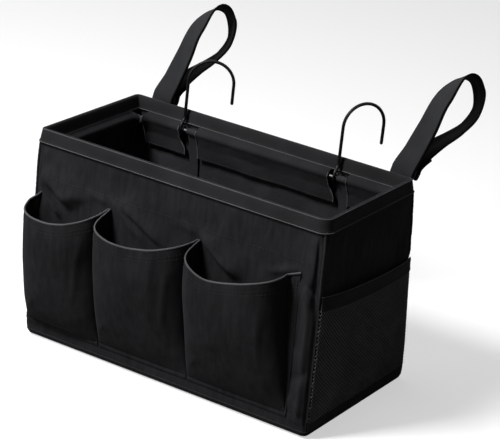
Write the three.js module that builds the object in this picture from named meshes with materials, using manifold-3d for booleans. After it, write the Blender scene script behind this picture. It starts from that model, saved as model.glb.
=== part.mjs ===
// A bedside caddy: an open-topped cloth box stiffened with boards, with three bellows pockets on its
// front and a net pocket on each end. Two wire hooks turn on a wire frame inside the rim, and two
// webbing straps with hook-and-loop ends are sewn to the back.
// Millimetres, +Z up, +X along the length, the front faces -Y, and the origin is the middle of the
// underside of the base.

import * as THREE from "three";
import { mergeGeometries, mergeVertices } from "three/addons/utils/BufferGeometryUtils.js";
import Module from "manifold-3d";

const wasm = await Module();
wasm.setup();

// Driving dimensions of the box.
const box = { length: 300, depth: 150, height: 195 };
const gap = 0.3;
const overrun = 5;
const wall = { cloth: 0.8, board: 1.6, cornerRadius: 2.4 };
const baseBoard = 2.4;
const rim = { band: 13, tape: 1.0 };

// The soft box swells: below this share of its height, its front and back stand out towards the base.
const swell = { startShare: 0.77, atBase: 10 };

// The wire frame inside the rim, and the cloth sleeves that hold it.
const frame = { radius: 1.75, clearance: 0.35, bend: 14, drop: 18, split: 0.6 };
const sleeve = { cloth: 0.7, bottomDrop: 43, mergeDrop: 9, cornerClearance: 3 };
const loadStrip = { width: 10, thickness: 1, bottomDrop: 88, topRise: 2.2, sideClearance: 1.2 };

// The wire hooks.
const hook = { radius: 1.5, rise: 47, arch: 21, leg: 18, jogStart: 2.2, jogEnd: 13, eyeEnd: 45 };
const hooks = [
  { name: "hook_left", placeShare: -0.6, yaw: 58 },
  { name: "hook_right", placeShare: 0.513, yaw: 30 },
];

// The bellows pockets: three runs of one strip, seamed to the front at these shares of the length.
const pocket = { foot: 17, seamTop: 142, depth: 33, lipSag: 17, cloth: 1, leftPower: 4.5, rightPower: 2.6 };
const pocketSwellPower = 0.85;
const pocketLip = { thickness: 1.8, height: 3 };
const pocketSeamShares = [-0.495, -0.228, 0.09, 0.433];
const pocketNames = ["pocket_left", "pocket_middle", "pocket_right"];

// The net pockets on the ends.
const net = { bottom: 14, top: 122, inside: 5.5, thickness: 0.8, hem: 5, pitch: 14, bar: 1.9 };
const netBand = { height: 12, thickness: 1.6 };

// The webbing straps: one loop shape, used twice.
const strap = { width: 25, thickness: 1.8, tail: 55, rootGap: 0.6, rootRise: 1.6, rootShare: 0.3, sideMargin: 1.5 };
const strapPlaceShares = { left: -0.813, right: 0.913 };
const loop = { rise: 95, reach: 47.5, lean: 32 };
const tape = { thickness: 0.9, pile: 1.5 };

// Stations along the loop, as shares of its reach, lean and rise, and the turn of its width in degrees.
const riserShares = [
  { x: 0, y: 0, z: 0, turn: 0 },
  { x: 0, y: 0, z: 0.07, turn: 0 },
  { x: 0.126, y: 0.078, z: 0.21, turn: 15 },
  { x: 0.358, y: 0.047, z: 0.516, turn: 27 },
  { x: 0.568, y: 0.219, z: 0.789, turn: 32 },
  { x: 0.737, y: 0.688, z: 1, turn: 34 },
];
const returnShares = [
  { x: 0.947, y: 1, z: 0.895, turn: 38 },
  { x: 1, y: 0.938, z: 0.684, turn: 50 },
  { x: 0.842, y: 0.781, z: 0.505, turn: 56 },
  { x: 0.547, y: 0.594, z: 0.358, turn: 50 },
  { x: 0.305, y: 0.406, z: 0.232, turn: 34 },
];
const closureShares = [0.3, 0.1];
const crownShare = 0.45;
const stopsPerStation = 4;

// Sizes that follow from the driving ones.
const half = { length: box.length / 2, depth: box.depth / 2 };
const wallTop = box.height - rim.tape - gap;
const boardFace = wall.cloth + gap;
const liningFace = boardFace + wall.board + gap;
const wallThickness = liningFace + wall.cloth;
const floor = wall.cloth + gap;
const swellStart = box.height * swell.startShare;
const frameHeight = box.height - frame.drop;
const eyeRadius = frame.radius + frame.clearance + hook.radius;
const frameOffset = gap + eyeRadius + hook.radius;
const inner = { length: half.length - wallThickness, depth: half.depth - wallThickness };
const frameHalf = { length: inner.length - frameOffset, depth: inner.depth - frameOffset };

// Materials.
const finish = (color, roughness, metalness = 0) => new THREE.MeshStandardMaterial({ color, roughness, metalness });
const materials = {
  cloth: finish(0x18181a, 0.88),
  lining: finish(0x202124, 0.85),
  binding: finish(0x232325, 0.8),
  webbing: finish(0x1d1d1f, 0.82),
  net: finish(0x1b1b1c, 0.75),
  tape: finish(0x131313, 0.95),
  board: finish(0x8a7a63, 0.9),
  hookWire: finish(0x0c0c0d, 0.35, 0.6),
  frameWire: finish(0xb9bbbd, 0.3, 0.9),
};

const caddy = new THREE.Group();
const up = new THREE.Vector3(0, 0, 1);

function addMesh(name, geometry, material) {
  const mesh = new THREE.Mesh(geometry, material);
  mesh.name = name;
  caddy.add(mesh);
  return mesh;
}

// Moves the middle ring of points of an upright piece to another height.
function moveMiddleRing(geometry, middle, height) {
  const { position } = geometry.attributes;
  for (let i = 0; i < position.count; i += 1) {
    if (Math.abs(position.getZ(i) - middle) < gap) {
      position.setZ(i, height);
    }
  }
  return geometry;
}

// A box between two corners, with a ring of points at the height where the walls start to swell.
function block(low, high) {
  const size = high.clone().sub(low);
  const bends = low.z < swellStart && high.z > swellStart;
  const geometry = new THREE.BoxGeometry(size.x, size.y, size.z, 1, 1, bends ? 2 : 1);
  const centre = low.clone().add(high).multiplyScalar(0.5);
  geometry.translate(centre.x, centre.y, centre.z);
  return bends ? moveMiddleRing(geometry, centre.z, swellStart) : geometry;
}

// Moves points out with the swelling front and back walls.
function swellOut(geometry) {
  const { position } = geometry.attributes;
  for (let i = 0; i < position.count; i += 1) {
    const share = THREE.MathUtils.clamp(position.getY(i) / half.depth, -1, 1);
    const fall = Math.max(0, 1 - position.getZ(i) / swellStart);
    position.setY(i, position.getY(i) + share * fall * swell.atBase);
  }
  return geometry;
}

const point = (x, y, z) => new THREE.Vector3(x, y, z);

// Boolean helpers.
function toSolid(geometry) {
  const bare = geometry.clone();
  bare.deleteAttribute("normal");
  bare.deleteAttribute("uv");
  const merged = mergeVertices(bare);
  const mesh = new wasm.Mesh({
    numProp: 3,
    vertProperties: new Float32Array(merged.attributes.position.array),
    triVerts: new Uint32Array(merged.index.array),
  });
  return new wasm.Manifold(mesh);
}

function toGeometry(solid) {
  const mesh = solid.getMesh();
  const geometry = new THREE.BufferGeometry();
  geometry.setAttribute("position", new THREE.BufferAttribute(new Float32Array(mesh.vertProperties), 3));
  geometry.setIndex(new THREE.BufferAttribute(new Uint32Array(mesh.triVerts), 1));
  geometry.computeVertexNormals();
  return geometry;
}

const cut = (body, ...tools) => toGeometry(tools.reduce((rest, tool) => rest.subtract(toSolid(tool)), toSolid(body)));

// A closed sheet between two surfaces, each a function of u and v from 0 to 1.
function sheet(outer, inside, columns, rows) {
  const positions = [];
  const index = [];
  const width = rows + 1;
  const layerSize = (columns + 1) * width;
  for (const surface of [outer, inside]) {
    for (let i = 0; i <= columns; i += 1) {
      for (let j = 0; j <= rows; j += 1) {
        positions.push(...surface(i / columns, j / rows).toArray());
      }
    }
  }
  const quad = (a, b, c, d) => index.push(a, b, c, a, c, d);
  const at = (i, j, layer) => layer * layerSize + i * width + j;
  for (let i = 0; i < columns; i += 1) {
    for (let j = 0; j < rows; j += 1) {
      quad(at(i, j, 0), at(i + 1, j, 0), at(i + 1, j + 1, 0), at(i, j + 1, 0));
      quad(at(i, j, 1), at(i, j + 1, 1), at(i + 1, j + 1, 1), at(i + 1, j, 1));
    }
    quad(at(i, 0, 1), at(i + 1, 0, 1), at(i + 1, 0, 0), at(i, 0, 0));
    quad(at(i, rows, 0), at(i + 1, rows, 0), at(i + 1, rows, 1), at(i, rows, 1));
  }
  for (let j = 0; j < rows; j += 1) {
    quad(at(0, j, 1), at(0, j, 0), at(0, j + 1, 0), at(0, j + 1, 1));
    quad(at(columns, j, 0), at(columns, j, 1), at(columns, j + 1, 1), at(columns, j + 1, 0));
  }
  const geometry = new THREE.BufferGeometry();
  geometry.setAttribute("position", new THREE.Float32BufferAttribute(positions, 3));
  geometry.setIndex(index);
  geometry.computeVertexNormals();
  return geometry;
}

// A route through chosen stations, so that a tube's rings lie where the wire bends.
class Route extends THREE.Curve {
  constructor(stations) {
    super();
    this.stations = stations;
  }

  getPoint(t, target = new THREE.Vector3()) {
    const place = t * (this.stations.length - 1);
    const index = Math.min(Math.floor(place), this.stations.length - 2);
    return target.lerpVectors(this.stations[index], this.stations[index + 1], place - index);
  }

  getUtoTmapping(u) {
    return u;
  }
}

function tube(stations, radius, sides) {
  const corners = [];
  for (let i = 0; i < sides; i += 1) {
    const angle = (i / sides) * Math.PI * 2;
    corners.push(new THREE.Vector2(Math.cos(angle) * radius, Math.sin(angle) * radius));
  }
  const options = { steps: stations.length - 1, extrudePath: new Route(stations) };
  return new THREE.ExtrudeGeometry(new THREE.Shape(corners), options);
}

// Points on an arc from one angle to another, in degrees, in the plane of two axes.
function arc(centre, first, second, radius, from, to, steps) {
  const points = [];
  for (let i = 0; i <= steps; i += 1) {
    const angle = THREE.MathUtils.degToRad(from + ((to - from) * i) / steps);
    const offset = first.clone().multiplyScalar(Math.cos(angle) * radius);
    points.push(offset.addScaledVector(second, Math.sin(angle) * radius).add(centre));
  }
  return points;
}

// The outer cloth: base, four walls and the piped corner seams between them.
function addOuterCloth() {
  const { cloth, cornerRadius } = wall;
  const length = half.length - cornerRadius - gap;
  const depth = half.depth - cornerRadius - gap;
  addMesh("base_panel", block(point(-half.length, -half.depth, 0), point(half.length, half.depth, cloth)), materials.cloth);
  for (const [name, side] of [["front_panel", -1], ["back_panel", 1]]) {
    const panel = block(point(-length, -cloth / 2, floor), point(length, cloth / 2, wallTop));
    addMesh(name, panel, materials.cloth).position.y = side * (half.depth - cloth / 2);
  }
  for (const [name, side] of [["left_end_panel", -1], ["right_end_panel", 1]]) {
    const panel = block(point(-cloth / 2, -depth, floor), point(cloth / 2, depth, wallTop));
    addMesh(name, panel, materials.cloth).position.x = side * (half.length - cloth / 2);
  }
  const quarter = new THREE.Shape();
  quarter.moveTo(0, 0);
  quarter.lineTo(cornerRadius, 0);
  quarter.absarc(0, 0, cornerRadius, 0, Math.PI / 2, false);
  quarter.lineTo(0, 0);
  const corners = [
    ["corner_piping_back_right", 1, 1, 0],
    ["corner_piping_back_left", -1, 1, 1],
    ["corner_piping_front_left", -1, -1, 2],
    ["corner_piping_front_right", 1, -1, 3],
  ];
  for (const [name, sideX, sideY, turns] of corners) {
    const options = { depth: wallTop - floor, steps: 2, bevelEnabled: false, curveSegments: 4 };
    const geometry = new THREE.ExtrudeGeometry(quarter, options);
    moveMiddleRing(geometry, options.depth / 2, swellStart - floor);
    const post = addMesh(name, geometry, materials.binding);
    post.rotation.z = (turns * Math.PI) / 2;
    post.position.set(sideX * (half.length - cornerRadius), sideY * (half.depth - cornerRadius), floor);
  }
}

// The stiffening boards between the outer cloth and the lining.
function addBoards() {
  const { board, cornerRadius } = wall;
  const length = half.length - cornerRadius - gap;
  const depth = half.depth - liningFace;
  for (const [name, side] of [["front_board", -1], ["back_board", 1]]) {
    const slab = block(point(-length, -board / 2, floor), point(length, board / 2, wallTop));
    addMesh(name, slab, materials.board).position.y = side * (half.depth - boardFace - board / 2);
  }
  for (const [name, side] of [["left_board", -1], ["right_board", 1]]) {
    const slab = block(point(-board / 2, -depth, floor), point(board / 2, depth, wallTop));
    addMesh(name, slab, materials.board).position.x = side * (half.length - boardFace - board / 2);
  }
  const low = point(gap + liningFace - half.length, gap + liningFace - half.depth, floor);
  const high = point(half.length - liningFace - gap, half.depth - liningFace - gap, floor + baseBoard);
  addMesh("base_board", block(low, high), materials.board);
}

// The lining: one open tray inside the boards.
function addLining() {
  const bottom = floor + baseBoard + gap;
  const length = half.length - liningFace;
  const depth = half.depth - liningFace;
  const outside = block(point(-length, -depth, bottom), point(length, depth, wallTop));
  const inside = block(
    point(-inner.length, -inner.depth, bottom + wall.cloth),
    point(inner.length, inner.depth, wallTop + overrun),
  );
  addMesh("lining", cut(swellOut(outside), swellOut(inside)), materials.lining);
}

// The rim binding: one tape folded over the top edge all round.
function addRimBinding() {
  const outward = gap + rim.tape;
  const bottom = box.height - rim.band;
  const ring = block(
    point(-half.length - outward, -half.depth - outward, bottom),
    point(half.length + outward, half.depth + outward, box.height),
  );
  const mouth = block(
    point(outward - inner.length, outward - inner.depth, bottom - overrun),
    point(inner.length - outward, inner.depth - outward, box.height + overrun),
  );
  const slotOutside = block(
    point(-half.length - gap, -half.depth - gap, bottom - overrun),
    point(half.length + gap, half.depth + gap, box.height - rim.tape),
  );
  const slotInside = block(
    point(gap - inner.length, gap - inner.depth, bottom - overrun - overrun),
    point(inner.length - gap, inner.depth - gap, box.height),
  );
  addMesh("rim_binding", cut(ring, mouth, cut(slotOutside, slotInside)), materials.binding);
}

// The wire frame: a rounded rectangle, open at a butt joint in the middle of the front.
function addFrame() {
  const { bend, split, radius } = frame;
  const { length, depth } = frameHalf;
  const right = point(1, 0, 0);
  const back = point(0, 1, 0);
  const corner = (sideX, sideY, from) => {
    const centre = point(sideX * (length - bend), sideY * (depth - bend), frameHeight);
    return arc(centre, right, back, bend, from, from + 90, 4);
  };
  const stations = [
    point(split / 2, -depth, frameHeight),
    ...corner(1, -1, -90),
    ...corner(1, 1, 0),
    ...corner(-1, 1, 90),
    ...corner(-1, -1, 180),
    point(-split / 2, -depth, frameHeight),
  ];
  addMesh("support_frame", tube(stations, radius, 8), materials.frameWire);
}

// A cloth loop round the frame wire with a flat flap below: x is the distance in from the lining.
function loopProfile(thickness, topHeight, bottomHeight) {
  const bore = frame.radius + frame.clearance;
  const mergeHeight = frameHeight - sleeve.mergeDrop;
  const bulge = bore + thickness / 2;
  const flap = gap + thickness;
  const shape = new THREE.Shape();
  const bends = bottomHeight < swellStart;
  shape.moveTo(gap, bottomHeight);
  shape.lineTo(flap, bottomHeight);
  if (bends) {
    shape.lineTo(flap, swellStart);
  }
  shape.lineTo(flap, mergeHeight);
  shape.absarc(frameOffset, frameHeight, bulge, THREE.MathUtils.degToRad(-100), THREE.MathUtils.degToRad(100), false);
  shape.lineTo(flap, topHeight);
  shape.lineTo(gap, topHeight);
  if (bends) {
    shape.lineTo(gap, swellStart);
  }
  const hole = new THREE.Path();
  hole.absarc(frameOffset, frameHeight, bore, 0, Math.PI * 2, true);
  shape.holes.push(hole);
  return shape;
}

// Extrudes a loop profile along one wall: inward points into the box, and run is the distance covered.
function addLoop(name, shape, start, inward, run, material) {
  const geometry = new THREE.ExtrudeGeometry(shape, { depth: run, bevelEnabled: false, curveSegments: 6 });
  const mesh = addMesh(name, geometry, material);
  const basis = new THREE.Matrix4().makeBasis(inward, up, inward.clone().cross(up));
  mesh.quaternion.setFromRotationMatrix(basis);
  mesh.position.copy(start);
}

// The window in the back sleeve that one hook and its load strip share.
function hookWindow(placeShare) {
  const place = placeShare * half.length;
  const stripStart = place + hook.radius + loadStrip.sideClearance;
  return {
    place,
    stripEnd: stripStart + loadStrip.width,
    start: place - hook.radius - loadStrip.sideClearance,
    end: stripStart + loadStrip.width + loadStrip.sideClearance,
  };
}

function addSleeves() {
  const layers = 2 * sleeve.cloth;
  const topHeight = box.height - rim.band - gap;
  const profile = loopProfile(layers, topHeight, box.height - sleeve.bottomDrop);
  const length = frameHalf.length - frame.bend - sleeve.cornerClearance;
  const depth = frameHalf.depth - frame.bend - sleeve.cornerClearance;
  const windows = hooks.map(({ placeShare }) => hookWindow(placeShare));
  const backEdges = [-length, windows[0].start, windows[0].end, windows[1].start, windows[1].end, length];
  addLoop("sleeve_front", profile, point(-length, -inner.depth, 0), point(0, 1, 0), 2 * length, materials.lining);
  addLoop("sleeve_left_end", profile, point(-inner.length, depth, 0), point(1, 0, 0), 2 * depth, materials.lining);
  addLoop("sleeve_right_end", profile, point(inner.length, -depth, 0), point(-1, 0, 0), 2 * depth, materials.lining);
  ["sleeve_back_left", "sleeve_back_middle", "sleeve_back_right"].forEach((name, i) => {
    const [from, to] = backEdges.slice(2 * i, 2 * i + 2);
    addLoop(name, profile, point(to, inner.depth, 0), point(0, -1, 0), to - from, materials.lining);
  });
  const stripProfile = loopProfile(loadStrip.thickness, frameHeight + loadStrip.topRise, box.height - loadStrip.bottomDrop);
  ["load_strip_left", "load_strip_right"].forEach((name, i) => {
    const start = point(windows[i].stripEnd, inner.depth, 0);
    addLoop(name, stripProfile, start, point(0, -1, 0), loadStrip.width, materials.webbing);
  });
}

// A wire hook: an eye round the frame, a jog back to the rim, the shank, the arch and its free leg.
function addHook({ name, placeShare, yaw }) {
  const back = point(0, 1, 0);
  const origin = point(0, 0, 0);
  const shank = frameOffset - (gap + rim.tape + gap + hook.radius);
  const eye = arc(origin, back, up, eyeRadius, hook.eyeEnd, -180, 10);
  const jog = new THREE.CubicBezierCurve3(
    point(0, -eyeRadius, hook.jogStart),
    point(0, -eyeRadius, (hook.jogStart + hook.jogEnd) / 2),
    point(0, shank, (hook.jogStart + hook.jogEnd) / 2),
    point(0, shank, hook.jogEnd),
  ).getPoints(6);
  const turn = THREE.MathUtils.degToRad(yaw);
  const outward = point(Math.sin(turn), Math.cos(turn), 0);
  const shankTop = point(0, shank, hook.rise);
  const centre = shankTop.clone().addScaledVector(outward, hook.arch);
  const arch = arc(centre, outward, up, hook.arch, 180, 0, 12);
  const tip = arch[arch.length - 1].clone().addScaledVector(up, -hook.leg);
  const wire = addMesh(name, tube([...eye, ...jog, ...arch, tip], hook.radius, 8), materials.hookWire);
  wire.position.set(placeShare * half.length, frameHalf.depth, frameHeight);
}

// A bellows pocket's plan at one height: out to its depth at the front, back to the panel at the seams.
function bellowsPoint(along, width, depth, height) {
  const angle = Math.PI * (1 - along);
  const power = 2 / (along < 0.5 ? pocket.leftPower : pocket.rightPower);
  const reach = Math.abs(Math.cos(angle)) ** power;
  const rise = Math.sin(angle) ** power;
  return point((Math.sign(Math.cos(angle)) * reach * width) / 2, -depth * rise, height);
}

const pocketTop = (along) => pocket.seamTop - pocket.lipSag * Math.sin(Math.PI * along) ** 2;

function pocketDepthAt(rise) {
  return pocket.depth * Math.sin((Math.PI / 2) * rise) ** pocketSwellPower;
}

function addPockets() {
  const face = -half.depth - gap;
  pocketNames.forEach((name, i) => {
    const start = pocketSeamShares[i] * box.length + gap / 2;
    const end = pocketSeamShares[i + 1] * box.length - gap / 2;
    const width = end - start;
    const surface = (thickness) => (along, rise) => {
      const height = pocket.foot + (pocketTop(along) - pocket.foot) * rise;
      const depth = pocketDepthAt(rise) + thickness;
      return bellowsPoint(along, width - 2 * pocket.cloth + 2 * thickness, depth, height);
    };
    const wallMesh = addMesh(name, sheet(surface(pocket.cloth), surface(0), 28, 7), materials.cloth);
    wallMesh.position.set((start + end) / 2, face, 0);
    const lipMiddle = (pocketLip.thickness - pocket.cloth) / 2;
    const lip = (offset) => (along, rise) => {
      const height = pocketTop(along) + gap + pocketLip.height * rise;
      const lipWidth = width - 2 * pocketLip.thickness + 2 * (offset + lipMiddle);
      return bellowsPoint(along, lipWidth, pocket.depth + offset, height);
    };
    const lipGeometry = sheet(lip(pocketLip.thickness - lipMiddle), lip(-lipMiddle), 28, 1);
    addMesh(`${name}_lip`, lipGeometry, materials.binding).position.copy(wallMesh.position);
  });
}

// A net pocket: a hem on three sides, the net across it, and a band along the top.
function addNetPocket(sideName, side) {
  const width = box.depth - 2 * (wall.cornerRadius + gap);
  const netTop = net.top - netBand.height - gap;
  const outline = new THREE.Shape();
  outline.moveTo(-width / 2, net.bottom);
  outline.lineTo(width / 2, net.bottom);
  outline.lineTo(width / 2, net.top);
  outline.lineTo(width / 2 - net.hem, net.top);
  outline.lineTo(width / 2 - net.hem, net.bottom + net.hem);
  outline.lineTo(net.hem - width / 2, net.bottom + net.hem);
  outline.lineTo(net.hem - width / 2, net.top);
  outline.lineTo(-width / 2, net.top);
  const reach = (net.pitch - net.bar * Math.SQRT2) / 2;
  const middle = (net.bottom + netTop) / 2;
  const across = Math.floor((width - 2 * net.hem) / net.pitch) * 2 - 1;
  const high = Math.floor((netTop - net.bottom - net.hem) / net.pitch) * 2 - 1;
  const diamonds = [];
  for (let i = 0; i < across; i += 1) {
    for (let j = 0; j < high; j += 1) {
      if ((i + j) % 2 === 0) {
        const x = ((i - (across - 1) / 2) * net.pitch) / 2;
        const y = middle + ((j - (high - 1) / 2) * net.pitch) / 2;
        const diamond = new THREE.CylinderGeometry(reach, reach, net.thickness + 2 * overrun, 4);
        diamonds.push(diamond.rotateX(Math.PI / 2).translate(x, y, 0));
      }
    }
  }
  const slab = (bottom, top, depth) => block(point(-width / 2, bottom, 0), point(width / 2, top, depth));
  const hem = new THREE.ExtrudeGeometry(outline, { depth: net.inside, bevelEnabled: false });
  const outward = point(side, 0, 0);
  const basis = new THREE.Matrix4().makeBasis(up.clone().cross(outward), up, outward);
  const stack = [
    ["net_hem", hem, 0, materials.binding],
    ["net", cut(slab(net.bottom, netTop, net.thickness), mergeGeometries(diamonds)), net.inside + gap, materials.net],
    ["net_band", slab(net.top - netBand.height, net.top, netBand.thickness), net.inside + gap, materials.binding],
  ];
  for (const [part, geometry, offset, material] of stack) {
    const piece = addMesh(`${sideName}_${part}`, geometry, material);
    piece.quaternion.setFromRotationMatrix(basis);
    piece.position.copy(outward).multiplyScalar(half.length + gap + offset);
  }
}

// The strap loop's centre line and the frame of its webbing at a station number.
function loopRoute() {
  const place = ({ x, y, z }) => point(x * loop.reach, y * loop.lean, z * loop.rise);
  const riser = riserShares.map(place);
  const riserCurve = new THREE.CatmullRomCurve3(riser);
  const turnAt = (turns, t) => {
    const spot = t * (turns.length - 1);
    const index = Math.min(Math.floor(spot), turns.length - 2);
    return THREE.MathUtils.lerp(turns[index], turns[index + 1], spot - index);
  };
  const frameAt = (curve, turns, t) => {
    const along = curve.getTangent(t).normalize();
    const turn = THREE.MathUtils.degToRad(turnAt(turns, t));
    const across = point(Math.cos(turn), -Math.sin(turn), 0);
    across.addScaledVector(along, -across.dot(along)).normalize();
    return { centre: curve.getPoint(t), along, across, out: across.clone().cross(along) };
  };
  const riserTurns = riserShares.map(({ turn }) => turn);
  const closureOffset = strap.thickness + 2 * tape.thickness + 2 * gap + tape.pile;
  const closure = closureShares.map((share) => {
    const spot = frameAt(riserCurve, riserTurns, share);
    return { centre: spot.centre.addScaledVector(spot.out, -closureOffset), turn: turnAt(riserTurns, share) };
  });
  const stations = [...riser, ...returnShares.map(place), ...closure.map(({ centre }) => centre)];
  const turns = [...riserTurns, ...returnShares.map(({ turn }) => turn), ...closure.map(({ turn }) => turn)];
  const curve = new THREE.CatmullRomCurve3(stations);
  const last = stations.length - 1;
  return { last, at: (station) => frameAt(curve, turns, station / last) };
}

// A run of webbing or tape along the loop, between two station numbers, offset outward from its middle.
function ribbon(route, from, to, width, thickness, offset, thinRoot = false) {
  const stops = [from];
  for (let i = Math.floor(from * stopsPerStation) + 1; i < to * stopsPerStation; i += 1) {
    stops.push(i / stopsPerStation);
  }
  stops.push(to);
  const steps = stops.length - 1;
  const surface = (side) => (u, v) => {
    const spot = route.at(stops[Math.round(u * steps)]);
    const fill = thinRoot ? THREE.MathUtils.clamp(spot.centre.z / strap.rootRise, strap.rootShare, 1) : 1;
    const out = offset + (side * thickness * fill) / 2;
    return spot.centre.addScaledVector(spot.across, (v - 0.5) * width).addScaledVector(spot.out, out);
  };
  return sheet(surface(-1), surface(1), steps, 2);
}

function addStrap(name, placeShare) {
  const { width, thickness } = strap;
  const route = loopRoute();
  const crown = crownShare * route.last;
  const crownSpan = route.at(Math.floor(crown)).centre.distanceTo(route.at(Math.ceil(crown)).centre);
  const slit = gap / (2 * crownSpan);
  const closureStart = route.last - 1;
  const [tapeEnd, tapeStart] = closureShares.map((share) => share * (riserShares.length - 1));
  const tapeOffset = thickness / 2 + gap + tape.thickness / 2;
  const tapeWidth = width - 2 * strap.sideMargin;
  const foldOffset = thickness + gap;
  const pieces = [
    ["riser", ribbon(route, 0, crown - slit, width, thickness, 0, true), materials.webbing],
    ["return", ribbon(route, crown + slit, route.last, width, thickness, 0), materials.webbing],
    ["loop_tape", ribbon(route, tapeStart, tapeEnd, tapeWidth, tape.thickness, -tapeOffset), materials.tape],
    ["hook_tape", ribbon(route, closureStart, route.last, tapeWidth, tape.thickness, -tapeOffset), materials.tape],
    ["end_fold", ribbon(route, closureStart - 1, route.last, width, thickness, foldOffset), materials.webbing],
  ];
  const group = new THREE.Group();
  const clear = half.depth + gap + rim.tape + gap + thickness / 2;
  group.position.set(placeShare * half.length, clear, box.height);
  const tail = block(
    point(-width / 2, -thickness / 2, -strap.tail),
    point(width / 2, thickness / 2, -strap.rootGap),
  );
  for (const [part, geometry, material] of [["tail", tail, materials.webbing], ...pieces]) {
    const mesh = new THREE.Mesh(geometry, material);
    mesh.name = `${name}_${part}`;
    group.add(mesh);
  }
  caddy.add(group);
}

addOuterCloth();
addBoards();
addLining();
addRimBinding();
addFrame();
addSleeves();
hooks.forEach(addHook);
addPockets();
addNetPocket("left", -1);
addNetPocket("right", 1);
addStrap("left_strap", strapPlaceShares.left);
addStrap("right_strap", strapPlaceShares.right);

// The whole cloth body swells as one, apart from the lining, which is cut after its parts have swelled.
caddy.updateMatrixWorld(true);
caddy.traverse((node) => {
  if (node.isMesh && node.name !== "lining") {
    const toCaddy = node.matrixWorld;
    node.geometry.applyMatrix4(toCaddy);
    swellOut(node.geometry).applyMatrix4(toCaddy.clone().invert());
    node.geometry.computeVertexNormals();
  }
});

export default caddy;
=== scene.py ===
import math

import bmesh
import bpy
import numpy as np
from mathutils import Matrix, Vector


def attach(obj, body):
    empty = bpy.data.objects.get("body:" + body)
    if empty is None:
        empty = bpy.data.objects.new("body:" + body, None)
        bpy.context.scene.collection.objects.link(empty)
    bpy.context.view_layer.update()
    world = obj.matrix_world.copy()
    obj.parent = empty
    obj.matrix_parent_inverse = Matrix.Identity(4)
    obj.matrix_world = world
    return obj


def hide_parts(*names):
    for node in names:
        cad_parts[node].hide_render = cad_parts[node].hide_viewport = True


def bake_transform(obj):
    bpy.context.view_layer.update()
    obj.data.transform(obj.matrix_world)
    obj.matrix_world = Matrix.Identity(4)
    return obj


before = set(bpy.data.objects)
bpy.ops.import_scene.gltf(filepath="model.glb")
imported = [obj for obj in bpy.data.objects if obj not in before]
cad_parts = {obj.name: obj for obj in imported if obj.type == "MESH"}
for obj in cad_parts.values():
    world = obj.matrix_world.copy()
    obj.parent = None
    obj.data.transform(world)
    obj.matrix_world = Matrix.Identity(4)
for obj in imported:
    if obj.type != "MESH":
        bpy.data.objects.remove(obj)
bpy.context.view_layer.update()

# The looks of a bedside caddy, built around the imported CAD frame.
# Shapes are worked out in millimetres on a straight box, then softened: the cloth body leans a little,
# and is narrower at its rim and fuller at its base. Meshes are written in metres.

MM = 0.001
HALF_X, HALF_Y, HEIGHT = 150.0, 75.0, 195.0
WALL = 3.8

# How thick each cloth, tape and board is.
CLOTH_THICKNESS, FLAP_THICKNESS, POCKET_THICKNESS, BAND_THICKNESS = 0.8, 1.3, 1.0, 0.9
HEM_THICKNESS, NET_BAND_THICKNESS, STRIP_THICKNESS, TAIL_THICKNESS = 1.0, 1.5, 1.0, 1.7
BOARD_THICKNESS, BASE_BOARD_THICKNESS = 1.6, 2.2

# How the soft body differs from the straight box: half its depth at the rim, how much fuller and
# longer it is at its base, and how far its base stands to one side and the whole to the back.
RIM_HALF_Y, BASE_FULLNESS, BASE_GROWTH, LEAN, BACK_SHIFT = 74.0, 11.0, 0.007, 8.5, 1.0

scene = bpy.context.scene


def smoothstep(value, low=0.0, high=1.0):
    share = np.clip((value - low) / (high - low), 0, 1)
    return share * share * (3 - 2 * share)


def soften(points):
    """The cloth body's real outline: straight box points moved to where the soft box has them."""
    points = np.asarray(points, float)
    drop = np.clip(1 - points[..., 2] / HEIGHT, 0, 1)
    wall_y = np.clip(points[..., 1], -HALF_Y, HALF_Y)
    soft_y = wall_y * (RIM_HALF_Y + BASE_FULLNESS * drop) / HALF_Y
    moved = points.copy()
    moved[..., 0] = points[..., 0] * (1 + BASE_GROWTH * drop) + LEAN * drop
    moved[..., 1] = points[..., 1] - wall_y + soft_y + BACK_SHIFT
    return moved


def distances(path):
    """How far along a path each of its points lies."""
    return np.concatenate([[0], np.cumsum(np.linalg.norm(np.diff(path, axis=0), axis=1))])


def resample(values, far, spots):
    return np.stack([np.interp(spots, far, values[:, k]) for k in range(3)], 1)


def stack(*parts):
    """Points from their x, y and z, each given for some or all of a grid."""
    return np.stack(np.broadcast_arrays(*parts), -1)


# Meshes

def add_mesh(name, points, faces, material, uv, sharp):
    """A mesh object from millimetre points. uv holds one pair for each corner of each face."""
    mesh = bpy.data.meshes.new(name)
    mesh.from_pydata((points * MM).tolist(), [], [list(map(int, f)) for f in faces])
    layer = mesh.uv_layers.new(name="cloth")
    layer.data.foreach_set("uv", np.asarray(uv, np.float32).ravel())
    mesh.materials.append(material)
    mesh.polygons.foreach_set("use_smooth", [True] * len(mesh.polygons))
    work = bmesh.new()
    work.from_mesh(mesh)
    bmesh.ops.recalc_face_normals(work, faces=work.faces)
    work.to_mesh(mesh)
    work.free()
    mesh.set_sharp_from_angle(angle=math.radians(sharp))
    mesh.update()
    obj = bpy.data.objects.new(name, mesh)
    scene.collection.objects.link(obj)
    return obj


def grid_normals(grid, wrap=False):
    """Unit normals of a grid of points, from its neighbours."""
    along = np.roll(grid, -1, 0) - np.roll(grid, 1, 0) if wrap else np.gradient(grid, axis=0)
    normal = np.cross(along, np.gradient(grid, axis=1))
    return normal / np.maximum(np.linalg.norm(normal, axis=-1, keepdims=True), 1e-9)


def lengths(grid):
    """How far each grid point lies along the two directions of its own surface, in millimetres."""
    first = np.linalg.norm(np.diff(grid, axis=0), axis=-1).mean(1)
    second = np.linalg.norm(np.diff(grid, axis=1), axis=-1).mean(0)
    return np.concatenate([[0], np.cumsum(first)]), np.concatenate([[0], np.cumsum(second)])


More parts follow.
